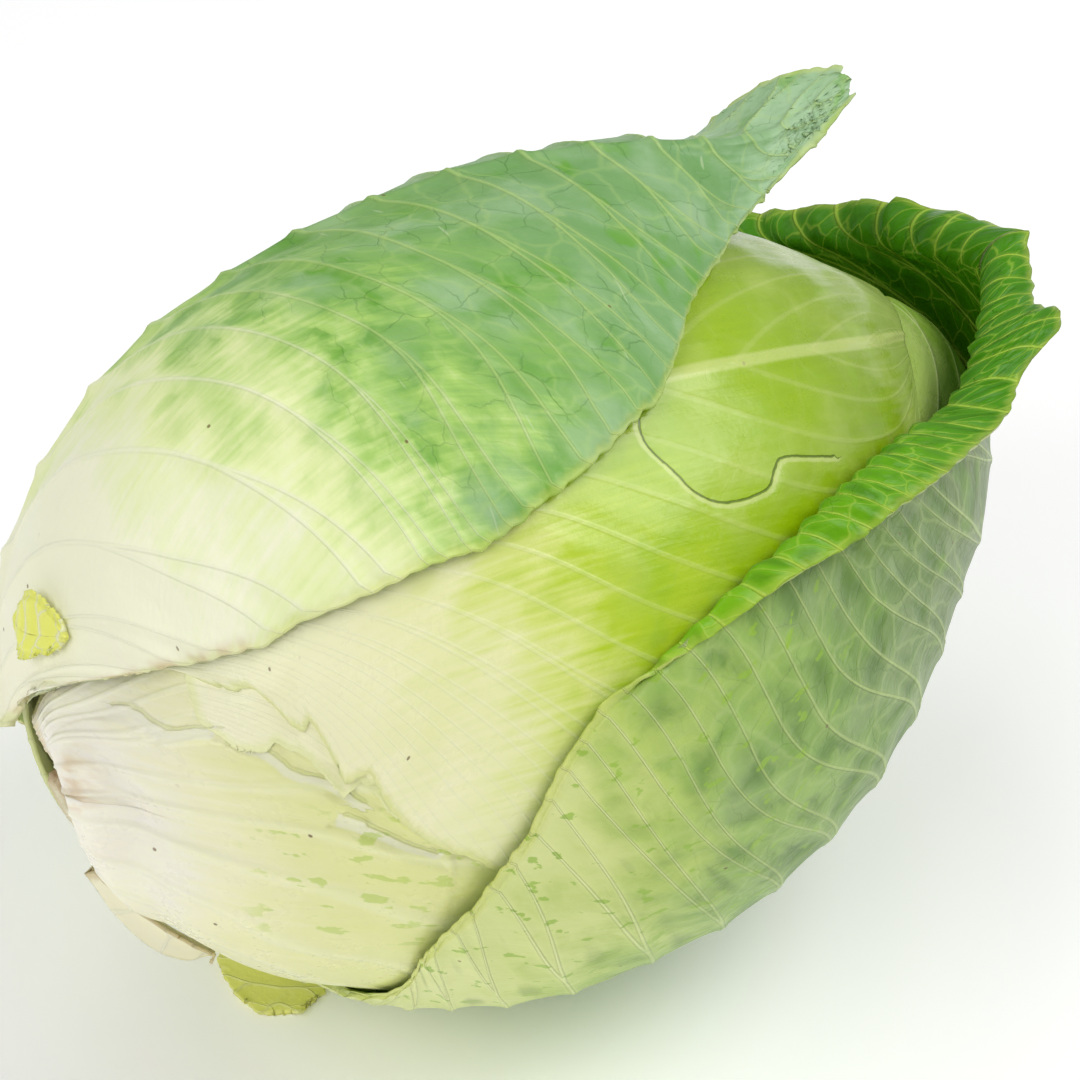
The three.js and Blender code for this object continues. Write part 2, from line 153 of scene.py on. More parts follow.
def clear_of_head(points, clearance):
    """Moves points outwards until they clear the head's surface by the given distance."""
    shape = points.shape
    flat = points.reshape(-1, 3)
    clearance = np.broadcast_to(clearance, shape[:-1]).reshape(-1)
    start = MERIDIAN[:-1]
    step = np.diff(MERIDIAN, axis=0)
    normal = np.stack([-step[:, 1], step[:, 0]], -1) / np.linalg.norm(step, axis=1)[:, None]
    result = np.empty_like(flat)
    for first in range(0, len(flat), BATCH):
        part = flat[first:first + BATCH]
        radius = np.hypot(part[:, 1], part[:, 2])
        at = np.stack([part[:, 0], radius], -1)
        offset = at[:, None] - start[None]
        t = clamp01((offset * step).sum(-1) / (step**2).sum(-1))
        gap = np.linalg.norm(offset - t[..., None] * step, axis=-1)
        best = gap.argmin(1)
        every = np.arange(len(part))
        foot = start[best] + t[every, best][:, None] * step[best]
        away = normal[best]
        distance = np.sign(((at - foot) * away).sum(-1)) * gap[every, best]
        wanted = clearance[first:first + BATCH]
        reach = (distance + wanted + np.hypot(distance - wanted, SOFTNESS)) / 2
        moved = foot + away * reach[:, None]
        scale = moved[:, 1] / np.maximum(radius, 1e-6)
        moved = np.stack([moved[:, 0], part[:, 1] * scale, part[:, 2] * scale], -1)
        result[first:first + BATCH] = moved
    return result.reshape(shape)


def on(tau, psi, distance):
    """A point at a distance from the head: psi turns from the top (0) over the near side (90)."""
    t = math.radians(tau)
    x, radius = meridian(t)
    x2, radius2 = meridian(t + 1e-4)
    away = np.array([radius - radius2, x2 - x])
    away = away / np.linalg.norm(away)
    r = radius + away[1] * distance
    turn = math.radians(psi)
    return x + away[0] * distance, -r * math.sin(turn), r * math.cos(turn)


def laid(*places):
    """Points on the head's own surface, each given as (tau, psi)."""
    return [on(tau, psi, 0) for tau, psi in places]


def even(value):
    """The same value all over a leaf."""
    return lambda u, v, side: value + 0 * u * v


def curve(stations, t):
    """Catmull-Rom curve through the stations, at each t from 0 to 1."""
    p = np.array(stations, float)
    p = np.vstack([2 * p[0] - p[1], p, 2 * p[-1] - p[-2]])
    spans = len(stations) - 1
    s = np.clip(np.asarray(t, float), 0, 1) * spans
    i = np.minimum(s.astype(int), spans - 1)
    w = (s - i)[..., None]
    a, b, c, d = (p[i + k] for k in range(4))
    leave = (c - a) / 2
    arrive = (d - b) / 2
    return (
        (2 * w**3 - 3 * w**2 + 1) * b + (w**3 - 2 * w**2 + w) * leave
        + (3 * w**2 - 2 * w**3) * c + (w**3 - w**2) * arrive
    )


def unit(vectors):
    return vectors / np.maximum(np.linalg.norm(vectors, axis=-1, keepdims=True), 1e-9)


def arch(start, end, v):
    """Rows from start to end, arched round a hub on the head's axis."""
    hub = np.zeros_like(start)
    hub[:, 0] = np.clip((start[:, 0] + end[:, 0]) / 2, HUB_BACK, HUB_FRONT)
    a = start - hub
    b = end - hub
    length_a = np.linalg.norm(a, axis=1)
    length_b = np.linalg.norm(b, axis=1)
    a = a / length_a[:, None]
    b = b / length_b[:, None]
    angle = np.maximum(np.arccos(np.clip((a * b).sum(-1), -1, 1)), 1e-4)[:, None]
    share_a = np.sin((1 - v) * angle)[..., None]
    share_b = np.sin(v * angle)[..., None]
    length = (1 - v) * length_a[:, None] + v * length_b[:, None]
    return hub[:, None] + unit(a[:, None] * share_a + b[:, None] * share_b) * length[..., None]


def half_leaf(leaf, u, side):
    """One half of a leaf's inner face, from the spine to the end of its rolled fringe."""
    cols, fringe_cols = leaf["cols"], leaf["fringe_cols"]
    start = curve(leaf["spine"], u)
    end = curve(leaf["near" if side else "far"], u)
    v = np.linspace(0, 1, cols + 1)[None]
    grid = arch(start, end, v)
    rise = leaf["lift"](u[:, None], v, side)
    up = grid * [0, 1, 1]
    grid = grid + unit(up) * np.broadcast_to(rise, grid.shape[:-1])[..., None]
    grid = clear_of_head(grid, leaf["clear"](u[:, None], v, side) + 0 * grid[..., 0])
    crest = grid[:, -1]
    tangent = unit(crest - grid[:, -2])
    ahead = unit(curve(leaf["spine"], u + 1e-4) - curve(leaf["spine"], u - 1e-4))
    forward = ramp(u, POINT_START, 1)[:, None] * leaf["pointed"]
    tangent = unit(tangent * (1 - forward) + ahead * forward)
    outward = crest.copy()
    outward[:, 0] = np.maximum(crest[:, 0] - HUB_FRONT, 0)
    outward = unit(outward - tangent * (outward * tangent).sum(-1, keepdims=True))
    width, turn, sharpness = (np.broadcast_to(q, u.shape)[:, None] for q in leaf["roll"](u, side))
    share = (np.arange(fringe_cols) + 0.5) / fringe_cols
    angle = turn * (1 - (1 - share[None]) ** sharpness)
    sideways = np.cumsum(np.cos(angle), 1) * width / fringe_cols
    outwards = np.cumsum(np.sin(angle), 1) * width / fringe_cols
    strip = tangent[:, None] * sideways[..., None] + outward[:, None] * outwards[..., None]
    return np.concatenate([grid, crest[:, None] + strip], 1)


def rise_at(x):
    """The stem end stands a little higher than the middle of the head."""
    return STEM_RISE * (np.maximum(RISE_START - x, 0) / (RISE_START + STEM_REACH)) ** 1.5


def grid_normals(grid, sign):
    along = np.gradient(grid, axis=0)
    across = np.gradient(grid, axis=1)
    return unit(np.cross(across, along)) * sign


def row_distance(grid, middle):
    """Signed distance of each point from the spine, measured along its row."""
    steps = np.linalg.norm(np.diff(grid, axis=1), axis=-1)
    total = np.concatenate([np.zeros((len(grid), 1)), np.cumsum(steps, 1)], 1)
    return total - total[:, middle:middle + 1]


def build_mesh(name, points, quads, attributes, materials, material_index=None):
    """A smooth mesh object from points in millimetres in the head's own frame."""
    points = points.copy()
    points[:, 2] += AXIS_HEIGHT + rise_at(points[:, 0])
    mesh = bpy.data.meshes.new(name)
    mesh.vertices.add(len(points))
    mesh.vertices.foreach_set("co", (points * MM).astype(np.float32).ravel())
    mesh.loops.add(quads.size)
    mesh.loops.foreach_set("vertex_index", quads.astype(np.int32).ravel())
    mesh.polygons.add(len(quads))
    mesh.polygons.foreach_set("loop_start", np.arange(0, quads.size, 4, dtype=np.int32))
    mesh.polygons.foreach_set("loop_total", np.full(len(quads), 4, np.int32))
    mesh.polygons.foreach_set("use_smooth", np.ones(len(quads), bool))
    for material in materials:
        mesh.materials.append(material)
    if material_index is not None:
        mesh.polygons.foreach_set("material_index", material_index.astype(np.int32))
    for key, values in attributes.items():
        values = np.asarray(values, np.float32)
        vector = values.ndim == 2
        attribute = mesh.attributes.new(key, "FLOAT_VECTOR" if vector else "FLOAT", "POINT")
        attribute.data.foreach_set("vector" if vector else "value", values.ravel())
    mesh.update(calc_edges=True)
    mesh.validate()
    obj = bpy.data.objects.new(name, mesh)
    bpy.context.scene.collection.objects.link(obj)
    return obj


def shell_quads(rows, width, sign):
    """Quads of a closed leaf: outer face, inner face and the wall round its edge."""
    index = np.arange(rows * width).reshape(rows, width)
    a, b, c, d = index[:-1, :-1], index[:-1, 1:], index[1:, 1:], index[1:, :-1]
    inner = np.stack([a, d, c, b], -1).reshape(-1, 4)
    outer = np.stack([a, b, c, d], -1).reshape(-1, 4) + rows * width
    shift = rows * width
    walls = []
    for edge in (index[0], index[-1][::-1], index[:, 0][::-1], index[:, -1]):
        walls.append(np.stack([edge[:-1], edge[1:], edge[1:] + shift, edge[:-1] + shift], -1))
    quads = np.concatenate([outer, inner, *walls])
    face = np.concatenate([np.zeros(len(outer)), np.ones(len(inner)), np.zeros(sum(map(len, walls)))])
    return (quads if sign > 0 else quads[:, ::-1]), face


def vein_distance(phase, reach):
    """Distance, in vein spacings, from the nearest vein: each vein forks on its way to the edge."""
    nearest = np.round(phase)
    chance = np.sin(nearest * SHUFFLE) * 0.5 + 0.5
    fork = FORK_START + FORK_RANGE * chance
    spread = np.clip((reach - fork) * FORK_SPREAD, 0, FORK_LIMIT)
    return np.abs(np.abs(phase - nearest) - spread)


def line_field(place, lines):
    """Signed distance to the nearest of some given lines, and a mask that fades past their ends."""
    best = np.full(len(place), 1e3)
    signed = np.full(len(place), 1e3)
    for line in lines:
        line = np.array(line, float)
        for a, b in zip(line[:-1], line[1:]):
            ab = b - a
            t = ((place - a) @ ab) / (ab @ ab)
            foot = a + clamp01(t)[:, None] * ab
            gap = np.linalg.norm(place - foot, axis=1)
            side = np.sign(ab[0] * (place - a)[:, 1] - ab[1] * (place - a)[:, 0])
            closer = gap < best
            best = np.where(closer, gap, best)
            signed = np.where(closer, gap * side, signed)
    return signed, 1 - ramp(best, LINE_FADES, LINE_ENDS)


def surface_place(points):
    """Where points lie on the head: distance along its outline, and distance round it from the top."""
    radius = np.hypot(points[:, 1], points[:, 2])
    psi = np.arctan2(-points[:, 1], points[:, 2])
    return np.stack([points[:, 0], psi * np.maximum(radius, 1)], -1)


def place_on(tau, psi):
    x, y, z = on(tau, psi, 2)
    return surface_place(np.array([[x, y, z]]))[0]


# What a leaf is unless it says otherwise. Relief is in millimetres, sweep and bend in vein spacings,
# and rows and columns are counts: u runs from the leaf's base to its end, v from midrib to margin
PLAIN_LEAF = {
    "under": False, "pointed": 0, "rows": 240, "cols": 60, "fringe_cols": 6,
    "lift": even(0), "roll": lambda u, side: (1.5 + 0 * u, 0.1, 1),
    "veins": 15, "sweep": 0, "bend": 0.1, "phase": None, "ridge": 0.35, "midrib": 1.2,
    "puff": 0.25, "inner_puff": lambda u, v: 0 * u * v, "wave": 0.5,
    "lines": (), "line_step": 0, "extra": lambda u, v, side, place: 0,
}


def make_leaf(name, node, materials, leaf):
    """Builds a leaf as a closed shell with its own relief, and lets it stand for a node if given."""
    leaf = {**PLAIN_LEAF, **leaf}
    u = np.linspace(0, 1, leaf["rows"] + 1)
    near = half_leaf(leaf, u, 1)
    far = half_leaf(leaf, u, 0)
    base = np.concatenate([far[:, :0:-1], near], 1)
    rows, width = base.shape[:2]
    middle = width // 2
    sign = -1 if leaf["under"] else 1
    normals = grid_normals(base, sign)
    step = (np.arange(width) - middle) / leaf["cols"]
    signed_v = np.broadcast_to(step, (rows, width))
    v = np.abs(signed_v)
    uu = np.broadcast_to(u[:, None], (rows, width))
    across = row_distance(base, middle)
    spine = base[:, middle]
    length = np.concatenate([[0], np.cumsum(np.linalg.norm(np.diff(spine, axis=0), axis=1))])
    along = np.broadcast_to(length[:, None], (rows, width))
    if leaf["phase"] is None:
        phase = leaf["veins"] * (uu - leaf["sweep"] * v) + leaf["bend"] * np.sin(3 * v + uu * 9)
        phase = phase + 0.8 * (noise(along / 34, across / 30, 3) - 0.5)
    else:
        phase = leaf["phase"](uu, signed_v, along, across)
    gap = vein_distance(phase, v)
    vein = hump(gap, 0, VEIN_WIDTH) * (1 - VEIN_FADE * clamp01(v))
    midrib = hump(across, 0, MIDRIB_WIDTH - MIDRIB_TAPER * uu) * (1 - MIDRIB_FADE * uu)
    puff = clamp01(gap * 2.6) ** 0.8 * (0.4 + 0.9 * noise(along / 7, across / 7, 5))
    wave = rough_noise(along / 26, across / 22, 8)
    common = leaf["puff"] * puff + leaf["wave"] * wave
    calm = 1 - leaf["pointed"] * ramp(uu, CALM_START, CALM_END)
    common = common + leaf["extra"](uu, v, signed_v > 0, np.stack([along, across], -1))
    if leaf["line_step"]:
        signed, _ = line_field(surface_place(base.reshape(-1, 3)), leaf["lines"])
        height = leaf["line_step"] * ramp(signed, -0.3, 0.5) * np.exp(-np.maximum(signed, 0) / 7)
        reach = 1 - ramp(np.abs(signed), 12, 20)
        common = common + (height * reach).reshape(common.shape)
    outer_relief = leaf["ridge"] * vein + leaf["midrib"] * midrib
    thick = leaf["thickness"](uu, v, signed_v > 0) * (1 - EDGE_THINNING * ramp(v, 0.97, 1.08))
    inward = leaf["inner_puff"](uu, v) * puff
    inner = base + normals * ((common - inward) * calm)[..., None]
    outer = base + normals * (thick + (common + outer_relief) * calm)[..., None]
    inner[..., 2] = np.maximum(inner[..., 2], FLOOR_GAP - AXIS_HEIGHT - rise_at(inner[..., 0]))
    outer[..., 2] = np.maximum(outer[..., 2], -AXIS_HEIGHT - rise_at(outer[..., 0]))
    quads, face = shell_quads(rows, width, sign)
    points = np.concatenate([inner.reshape(-1, 3), outer.reshape(-1, 3)])
    radius = np.hypot(points[:, 1], points[:, 2])
    edge = across[:, -1:] - across
    far_edge = across - across[:, :1]
    margin = np.minimum(np.minimum(edge, far_edge), np.minimum(along, length[-1] - along + 3))

    def both(values):
        return np.tile(np.asarray(values, float).ravel(), 2)

    signed, mask = line_field(surface_place(points), leaf["lines"])
    attributes = {
        "phase": both(phase), "reach": both(v), "margin": both(margin), "puff": both(puff),
        "place": np.stack([both(along), both(across), both(0 * uu)], -1),
        "tau": np.degrees(np.arctan2(radius, -points[:, 0] * HEAD_RADIUS / STEM_REACH)),
        "psi": np.degrees(np.arctan2(-points[:, 1], points[:, 2])),
        "line": signed, "line_on": mask,
    }
    obj = build_mesh(name, points, quads, attributes, materials, face if len(materials) > 1 else None)
    if node:
        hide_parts(node)
    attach(obj, "root")
    return obj


class Wire:
    """A shader socket that arithmetic works on: each operation adds one Math node."""

    def __init__(self, tree, socket):
        self.tree = tree
        self.socket = socket

    def op(self, operation, *others):
        node = self.tree.nodes.new("ShaderNodeMath")
        node.operation = operation
        for slot, value in zip(node.inputs, (self, *others)):
            connect(value, slot)
        return Wire(self.tree, node.outputs[0])

    def __add__(self, other):
        return self.op("ADD", other)

    def __sub__(self, other):
        return self.op("SUBTRACT", other)

    def __mul__(self, other):
        return self.op("MULTIPLY", other)

    def __truediv__(self, other):
        return self.op("DIVIDE", other)

    def invert(self):
        return self * -1 + 1

    def smooth(self, low, high):
        node = self.tree.nodes.new("ShaderNodeMapRange")
        node.interpolation_type = "SMOOTHSTEP"
        connect(self, node.inputs["Value"])
        node.inputs["From Min"].default_value = low
        node.inputs["From Max"].default_value = high
        return Wire(self.tree, node.outputs["Result"])


def connect(value, slot):
    if isinstance(value, Wire):
        value.tree.links.new(value.socket, slot)
    elif isinstance(value, tuple):
        slot.default_value = (*value, 1)
    else:
        slot.default_value = value


def read(tree, name, vector=False):
    node = tree.nodes.new("ShaderNodeAttribute")
    node.attribute_name = name
    return Wire(tree, node.outputs["Vector" if vector else "Fac"])


def noise_node(place, scale, detail):
    node = place.tree.nodes.new("ShaderNodeTexNoise")
    connect(place, node.inputs["Vector"])
    node.inputs["Scale"].default_value = scale
    node.inputs["Detail"].default_value = detail
    return node


def cloud(place, scale, detail=3):
    """Noise whose features are about 1/scale apart, in the units of place."""
    return Wire(place.tree, noise_node(place, scale, detail).outputs[0])


def cells(place, scale, feature="DISTANCE_TO_EDGE"):
    """Flat cells: the distance in each, and its own colour."""
    node = place.tree.nodes.new("ShaderNodeTexVoronoi")
    node.voronoi_dimensions = "2D"
    node.feature = feature
    connect(place, node.inputs["Vector"])
    node.inputs["Scale"].default_value = scale
    return [Wire(place.tree, output) for output in node.outputs[:2]]


def paint(share, below, above):
    """Mixes two colours: share 0 gives the one below."""
    node = share.tree.nodes.new("ShaderNodeMix")
    node.data_type = "RGBA"
    for value, slot in zip((share, below, above), (0, 6, 7)):
        connect(value, node.inputs[slot])
    return Wire(share.tree, node.outputs[2])


def part_of(whole, kind, index):
    """One component of a vector or a colour."""
    node = whole.tree.nodes.new(kind)
    connect(whole, node.inputs[0])
    return Wire(whole.tree, node.outputs[index])


def colour_ramp(value, stops):
    node = value.tree.nodes.new("ShaderNodeValToRGB")
    elements = node.color_ramp.elements
    while len(elements) < len(stops):
        elements.new(0.5)
    for element, (position, colour) in zip(elements, stops):
        element.position = position
        element.color = (*colour, 1)
    connect(value, node.inputs["Fac"])
    return Wire(value.tree, node.outputs["Color"])


def warped(place, scale, amount):
    """The same coordinates, pushed about by noise so that straight cells bend."""
    push = place.tree.nodes.new("ShaderNodeVectorMath")
    push.operation = "MULTIPLY_ADD"
    connect(Wire(place.tree, noise_node(place, scale, 2).outputs["Color"]), push.inputs[0])
    push.inputs[1].default_value = (amount, amount, 0)
    connect(place, push.inputs[2])
    return Wire(place.tree, push.outputs[0])


def stretched(place, share):
    """The same coordinates, each scaled by its own share."""
    node = place.tree.nodes.new("ShaderNodeVectorMath")
    node.operation = "MULTIPLY"
    connect(place, node.inputs[0])
    node.inputs[1].default_value = share
    return Wire(place.tree, node.outputs[0])


def new_material(name):
    material = bpy.data.materials.new(name)
    material.use_nodes = True
    tree = material.node_tree
    return material, tree, tree.nodes["Principled BSDF"]


def add_bump(shader, height, strength, distance):
    """Bends the surface's normals by a height, counted in the given distance in metres."""
    bump = height.tree.nodes.new("ShaderNodeBump")
    bump.inputs["Strength"].default_value = strength
    bump.inputs["Distance"].default_value = distance
    connect(height, bump.inputs["Height"])
    connect(Wire(height.tree, bump.outputs["Normal"]), shader.inputs["Normal"])


# What a leaf looks like unless its own look says otherwise. Shares run from 0 to 1, the veins'
# width is in vein spacings, the midrib's in millimetres, and net_size is in cells per millimetre
PLAIN_LOOK = {
    "green_from": 0.35, "green_by": 0.55, "mottle": 0.2, "streak": 0.15,
    "vein_share": 0.7, "vein_width": 0.05, "vein_bump": 0.5, "pale_vein": (0.88, 0.89, 0.66),
    "net": 0.3, "net_colour": (0.1, 0.25, 0.03), "net_size": 0.14, "light_net": 0.15,
    "rub": 0, "rub_colour": (0.18, 0.4, 0.05), "bloom_and_sheen": 0, "bloom_and_sheen_colour": (0.5, 0.6, 0.45),
    "puff_shade": 0, "cell_shade": 0, "dent_shade_colour": (0.1, 0.2, 0.03), "specks": 0.8,
    "midrib": 0, "midrib_width": 1.6, "margin": 0.4, "margin_colour": (0.62, 0.68, 0.12),
    # Drawn lines: colour of the painted shadow in a crack or tear, and of its lip, partly painted
    # highlight
    "crack_shadow_share": 0.9, "crack_shadow_colour": (0.06, 0.1, 0.005), "lip_and_highlight_share": 0.6, "lip_and_highlight": (0.75, 0.8, 0.35),
    "roughness": 0.42, "gloss": 0.4, "coat": 0, "coat_roughness": 0.18, "depth": 0.12, "bump": 0.5,
    "finish": None,
}
SPECK_COLOUR = (0.16, 0.09, 0.03)
LIGHT_REACH = (1, 1, 0.35)
LIGHT_DEPTH = 0.003
LEAF_BUMP = 0.0007
STEM_BUMP = 0.0006


def vein_wires(tree, vein_width):
    """The veins as the mesh has them, and a soft halo beside them."""
    phase, reach = read(tree, "phase"), read(tree, "reach")
    nearest = phase.op("ROUND")
    chance = (nearest * SHUFFLE).op("SINE") * 0.5 + 0.5
    spread = (reach - (chance * FORK_RANGE + FORK_START)) * FORK_SPREAD
    spread = spread.op("MAXIMUM", 0).op("MINIMUM", FORK_LIMIT)
    gap = ((phase - nearest).op("ABSOLUTE") - spread).op("ABSOLUTE")
    width = (reach * -0.6 + 1).op("MAXIMUM", 0.35) * vein_width
    return (gap / width).smooth(0.35, 1.3).invert(), (gap / width).smooth(1, 4).invert() * 0.25


def leaf_material(name, look):
    """Procedural leaf: colour along the leaf, veins, fine net, rubbed patches, waxy bloom with painted
    sheen, painted shade in dents and cell hollows, specks, margin, and drawn lines with painted shadow
    and highlight.
    """
    look = {**PLAIN_LOOK, **look}
    material, tree, shader = new_material(name)
    place = read(tree, "place", vector=True)
    margin = read(tree, "margin")
    bent = warped(place, 0.12, 7)
    broad = cloud(place, 0.035, 2)
    medium = cloud(bent, 0.11, 4)
    fine = cloud(place, 0.7, 3)
    streak = cloud(stretched(place, (0.07, 0.75, 0)), 1, 3)

    tint = look["tint"](tree) + (broad - 0.5) * look["mottle"] + (medium - 0.5) * look["mottle"]
    green = tint.smooth(look["green_from"], look["green_by"])
    colour = colour_ramp(tint + (streak - 0.5) * look["streak"], look["stops"])
    patches = medium.smooth(0.5, 0.62) * cloud(bent, 0.05, 2).smooth(0.42, 0.6) * green
    colour = paint(patches * look["rub"], colour, look["rub_colour"])
    # Waxy bloom, partly painted sheen: pale grey-green patches stand in for soft reflections on the wax
    bloom_and_sheen = cloud(bent, 0.07, 5).smooth(0.45, 0.75) * look["bloom_and_sheen"]
    colour = paint(bloom_and_sheen * green, colour, look["bloom_and_sheen_colour"])
    # Painted shade: darker colour in the dents between the veins
    dent_shade = read(tree, "puff").smooth(0.75, 1.25) * look["puff_shade"]
    colour = paint(dent_shade, colour, look["dent_shade_colour"])

    vein, halo = vein_wires(tree, look["vein_width"])
    light_cells, _ = cells(bent, look["net_size"] * 0.6)
    light_net = light_cells.smooth(0.0, 0.07).invert() * green * look["light_net"]
    # Painted shade in the hollow middle of each net cell
    hollow_shade = light_cells.smooth(0.06, 0.4) * green * medium.smooth(0.35, 0.6) * look["cell_shade"]
    colour = paint(hollow_shade, colour, look["dent_shade_colour"])
    dark_cells, _ = cells(warped(place, 0.3, 2.5), look["net_size"])
    broken = cloud(place, 0.08, 2).smooth(0.35, 0.6)
    dark_net = dark_cells.smooth(0.0, 0.035).invert() * broken * green * margin.smooth(4, 10)
    dark_net = dark_net * look["net"]
    colour = paint(dark_net, colour, look["net_colour"])
    vein_colour = paint(green, look["pale_vein"], look["vein_colour"])
    colour = paint(light_net + halo * look["vein_share"], colour, vein_colour)
    colour = paint(vein * look["vein_share"], colour, vein_colour)

    speck, lot = cells(place, 0.11, "F1")
    rare = part_of(lot, "ShaderNodeSeparateColor", 0).smooth(0.93, 0.95)
    colour = paint(speck.smooth(0.025, 0.05).invert() * rare * look["specks"], colour, SPECK_COLOUR)

    beside = part_of(place, "ShaderNodeSeparateXYZ", 1).op("ABSOLUTE")
    midrib = beside.smooth(look["midrib_width"] * 0.5, look["midrib_width"]).invert() * look["midrib"]
    colour = paint(midrib, colour, look["vein_colour"])
    edge = (margin + (fine - 0.5) * 2).smooth(0.2, 2.6).invert() * look["margin"]
    colour = paint(edge, colour, look["margin_colour"])
    line_on = read(tree, "line_on")
    line = read(tree, "line") + (fine - 0.5) * 0.4
    # Painted shadow: a dark line along each drawn crack or tear; beside it a pale lip, partly the torn
    # edge's own colour and partly painted highlight
    lip_and_highlight = (line - 0.7).op("ABSOLUTE").smooth(0.2, 0.7).invert() * line_on
    crack_shadow = line.op("ABSOLUTE").smooth(0.08, 0.3).invert() * line_on
    colour = paint(lip_and_highlight * look["lip_and_highlight_share"], colour, look["lip_and_highlight"])
    colour = paint(crack_shadow * look["crack_shadow_share"], colour, look["crack_shadow_colour"])
    if look["finish"]:
        colour = look["finish"](tree, colour, place)
    connect(colour, shader.inputs["Base Color"])

    roughness = (medium - 0.5) * 0.25 + (fine - 0.5) * 0.15 + look["roughness"] + bloom_and_sheen * 0.15
    connect(roughness, shader.inputs["Roughness"])
    shader.inputs["Specular IOR Level"].default_value = look["gloss"]
    shader.inputs["Subsurface Weight"].default_value = look["depth"]
    shader.inputs["Subsurface Radius"].default_value = LIGHT_REACH
    shader.inputs["Subsurface Scale"].default_value = LIGHT_DEPTH
    if look["coat"]:
        shader.inputs["Coat Weight"].default_value = look["coat"]
        shader.inputs["Coat Roughness"].default_value = look["coat_roughness"]
    raised = vein * look["vein_bump"] + light_net * 0.4 + fine * 0.2 + medium * 0.3 + streak * 0.3
    add_bump(shader, raised - dark_net - crack_shadow * 1.5 - hollow_shade, look["bump"], LEAF_BUMP)
    return material


def tau_tint(low, high):
    """Tint that grows along the head from one angle to another."""
    return lambda tree: (read(tree, "tau") - low) / (high - low)


def window(tree, name, low, high, soft):
    """1 between two values of an attribute, with soft ends."""
    value = read(tree, name)
    return value.smooth(low - soft, low + soft) * value.smooth(high - soft, high + soft).invert()


def pale_finish(tree, colour, place):
    """Pinkish flesh and a brown scar by the stem, and small green dabs lower down."""
    patchy = cloud(stretched(place, (1, 2.2, 1)), 0.16, 3)
    flesh = read(tree, "tau").smooth(17, 28).invert() * cloud(place, 0.09, 3).smooth(0.35, 0.6)
    colour = paint(flesh * 0.3, colour, (0.86, 0.77, 0.68))
    scar = window(tree, "tau", 3, 11, 3) * window(tree, "psi", 15, 70, 12) * patchy.smooth(0.44, 0.62)
    colour = paint(scar * 0.5, colour, (0.68, 0.48, 0.26))
    rim = read(tree, "margin").smooth(0.6, 3.5).invert() * read(tree, "tau").smooth(26, 34).invert()
    colour = paint(rim * 0.5, colour, (0.62, 0.42, 0.2))
    dabs = window(tree, "tau", 32, 60, 4) * window(tree, "psi", 74, 112, 6) * patchy.smooth(0.59, 0.64)
    return paint(dabs * 0.7, colour, (0.52, 0.66, 0.12))


def upper_finish(tree, colour, place):
    """A faint brown stain along the near margin by the stem, and a few white scratches."""
    stain = read(tree, "margin").smooth(0.5, 4).invert() * read(tree, "tau").smooth(38, 50).invert()
    stain = stain * cloud(place, 0.13, 2).smooth(0.42, 0.6)
    colour = paint(stain * 0.5, colour, (0.62, 0.42, 0.26))
    scratch = cloud(stretched(place, (0.5, 0.06, 1)), 1, 2).smooth(0.7, 0.74)
    return paint(scratch * 0.35 * read(tree, "tau").smooth(60, 75), colour, (0.62, 0.74, 0.46))


def lower_finish(tree, colour, place):
    """Bright green dabs on the pale part of the leaf's outside."""
    dabs = cloud(stretched(place, (1, 1.6, 1)), 0.2, 4).smooth(0.61, 0.65)
    dabs = dabs * read(tree, "tau").smooth(95, 110).invert()
    return paint(dabs * 0.75, colour, (0.3, 0.5, 0.04))


upper_wrapper_look = leaf_material("upper_wrapper_outer", {
    "tint": tau_tint(18, 130),
    "stops": [
        (0.0, (0.93, 0.92, 0.7)), (0.21, (0.93, 0.94, 0.69)), (0.33, (0.82, 0.9, 0.45)),
        (0.41, (0.6, 0.77, 0.27)), (0.47, (0.39, 0.62, 0.14)), (0.54, (0.24, 0.47, 0.1)),
        (0.69, (0.2, 0.4, 0.13)), (0.87, (0.18, 0.37, 0.13)), (1.0, (0.38, 0.57, 0.33)),
    ],
    "vein_colour": (0.46, 0.64, 0.2), "vein_share": 0.45, "gloss": 0.3, "mottle": 0.26, "depth": 0.05,
    "rub": 0.8, "rub_colour": (0.13, 0.37, 0.02), "cell_shade": 0.3, "dent_shade_colour": (0.12, 0.33, 0.05),
    "bloom_and_sheen": 0.6, "bloom_and_sheen_colour": (0.4, 0.57, 0.34),
    "net": 0.3, "light_net": 0.22, "net_colour": (0.07, 0.22, 0.05),
    "finish": upper_finish,
})
upper_wrapper_inner_look = leaf_material("upper_wrapper_inner", {
    "tint": tau_tint(10, 130),
    "stops": [(0, (0.7, 0.76, 0.5)), (0.5, (0.36, 0.53, 0.25)), (1, (0.32, 0.5, 0.27))],
    "vein_colour": (0.5, 0.64, 0.38), "net": 0.15, "bloom_and_sheen": 0.4,
})
lower_wrapper_look = leaf_material("lower_wrapper_outer", {
    "tint": tau_tint(52, 140),
    "stops": [
        (0.0, (0.74, 0.79, 0.35)), (0.15, (0.65, 0.73, 0.26)), (0.28, (0.46, 0.6, 0.13)),
        (0.42, (0.3, 0.47, 0.1)), (0.55, (0.2, 0.34, 0.07)), (0.75, (0.13, 0.23, 0.035)),
        (1.0, (0.11, 0.18, 0.03)),
    ],
    "green_from": 0.15, "green_by": 0.5, "streak": 0.03, "mottle": 0.3, "depth": 0.05, "bump": 0.8,
    "vein_colour": (0.5, 0.64, 0.22), "vein_share": 0.5, "vein_width": 0.045,
    "pale_vein": (0.84, 0.9, 0.44), "light_net": 0.2, "net": 0.15, "net_colour": (0.08, 0.18, 0.03),
    # The bloom colour here is partly painted sheen: lighter grey-green patches on the dark leaf
    "rub": 0.4, "rub_colour": (0.2, 0.42, 0.03), "bloom_and_sheen": 0.45, "bloom_and_sheen_colour": (0.35, 0.44, 0.24),
    "puff_shade": 0.5, "dent_shade_colour": (0.07, 0.16, 0.02), "cell_shade": 0.55,
    "roughness": 0.36, "finish": lower_finish,
})
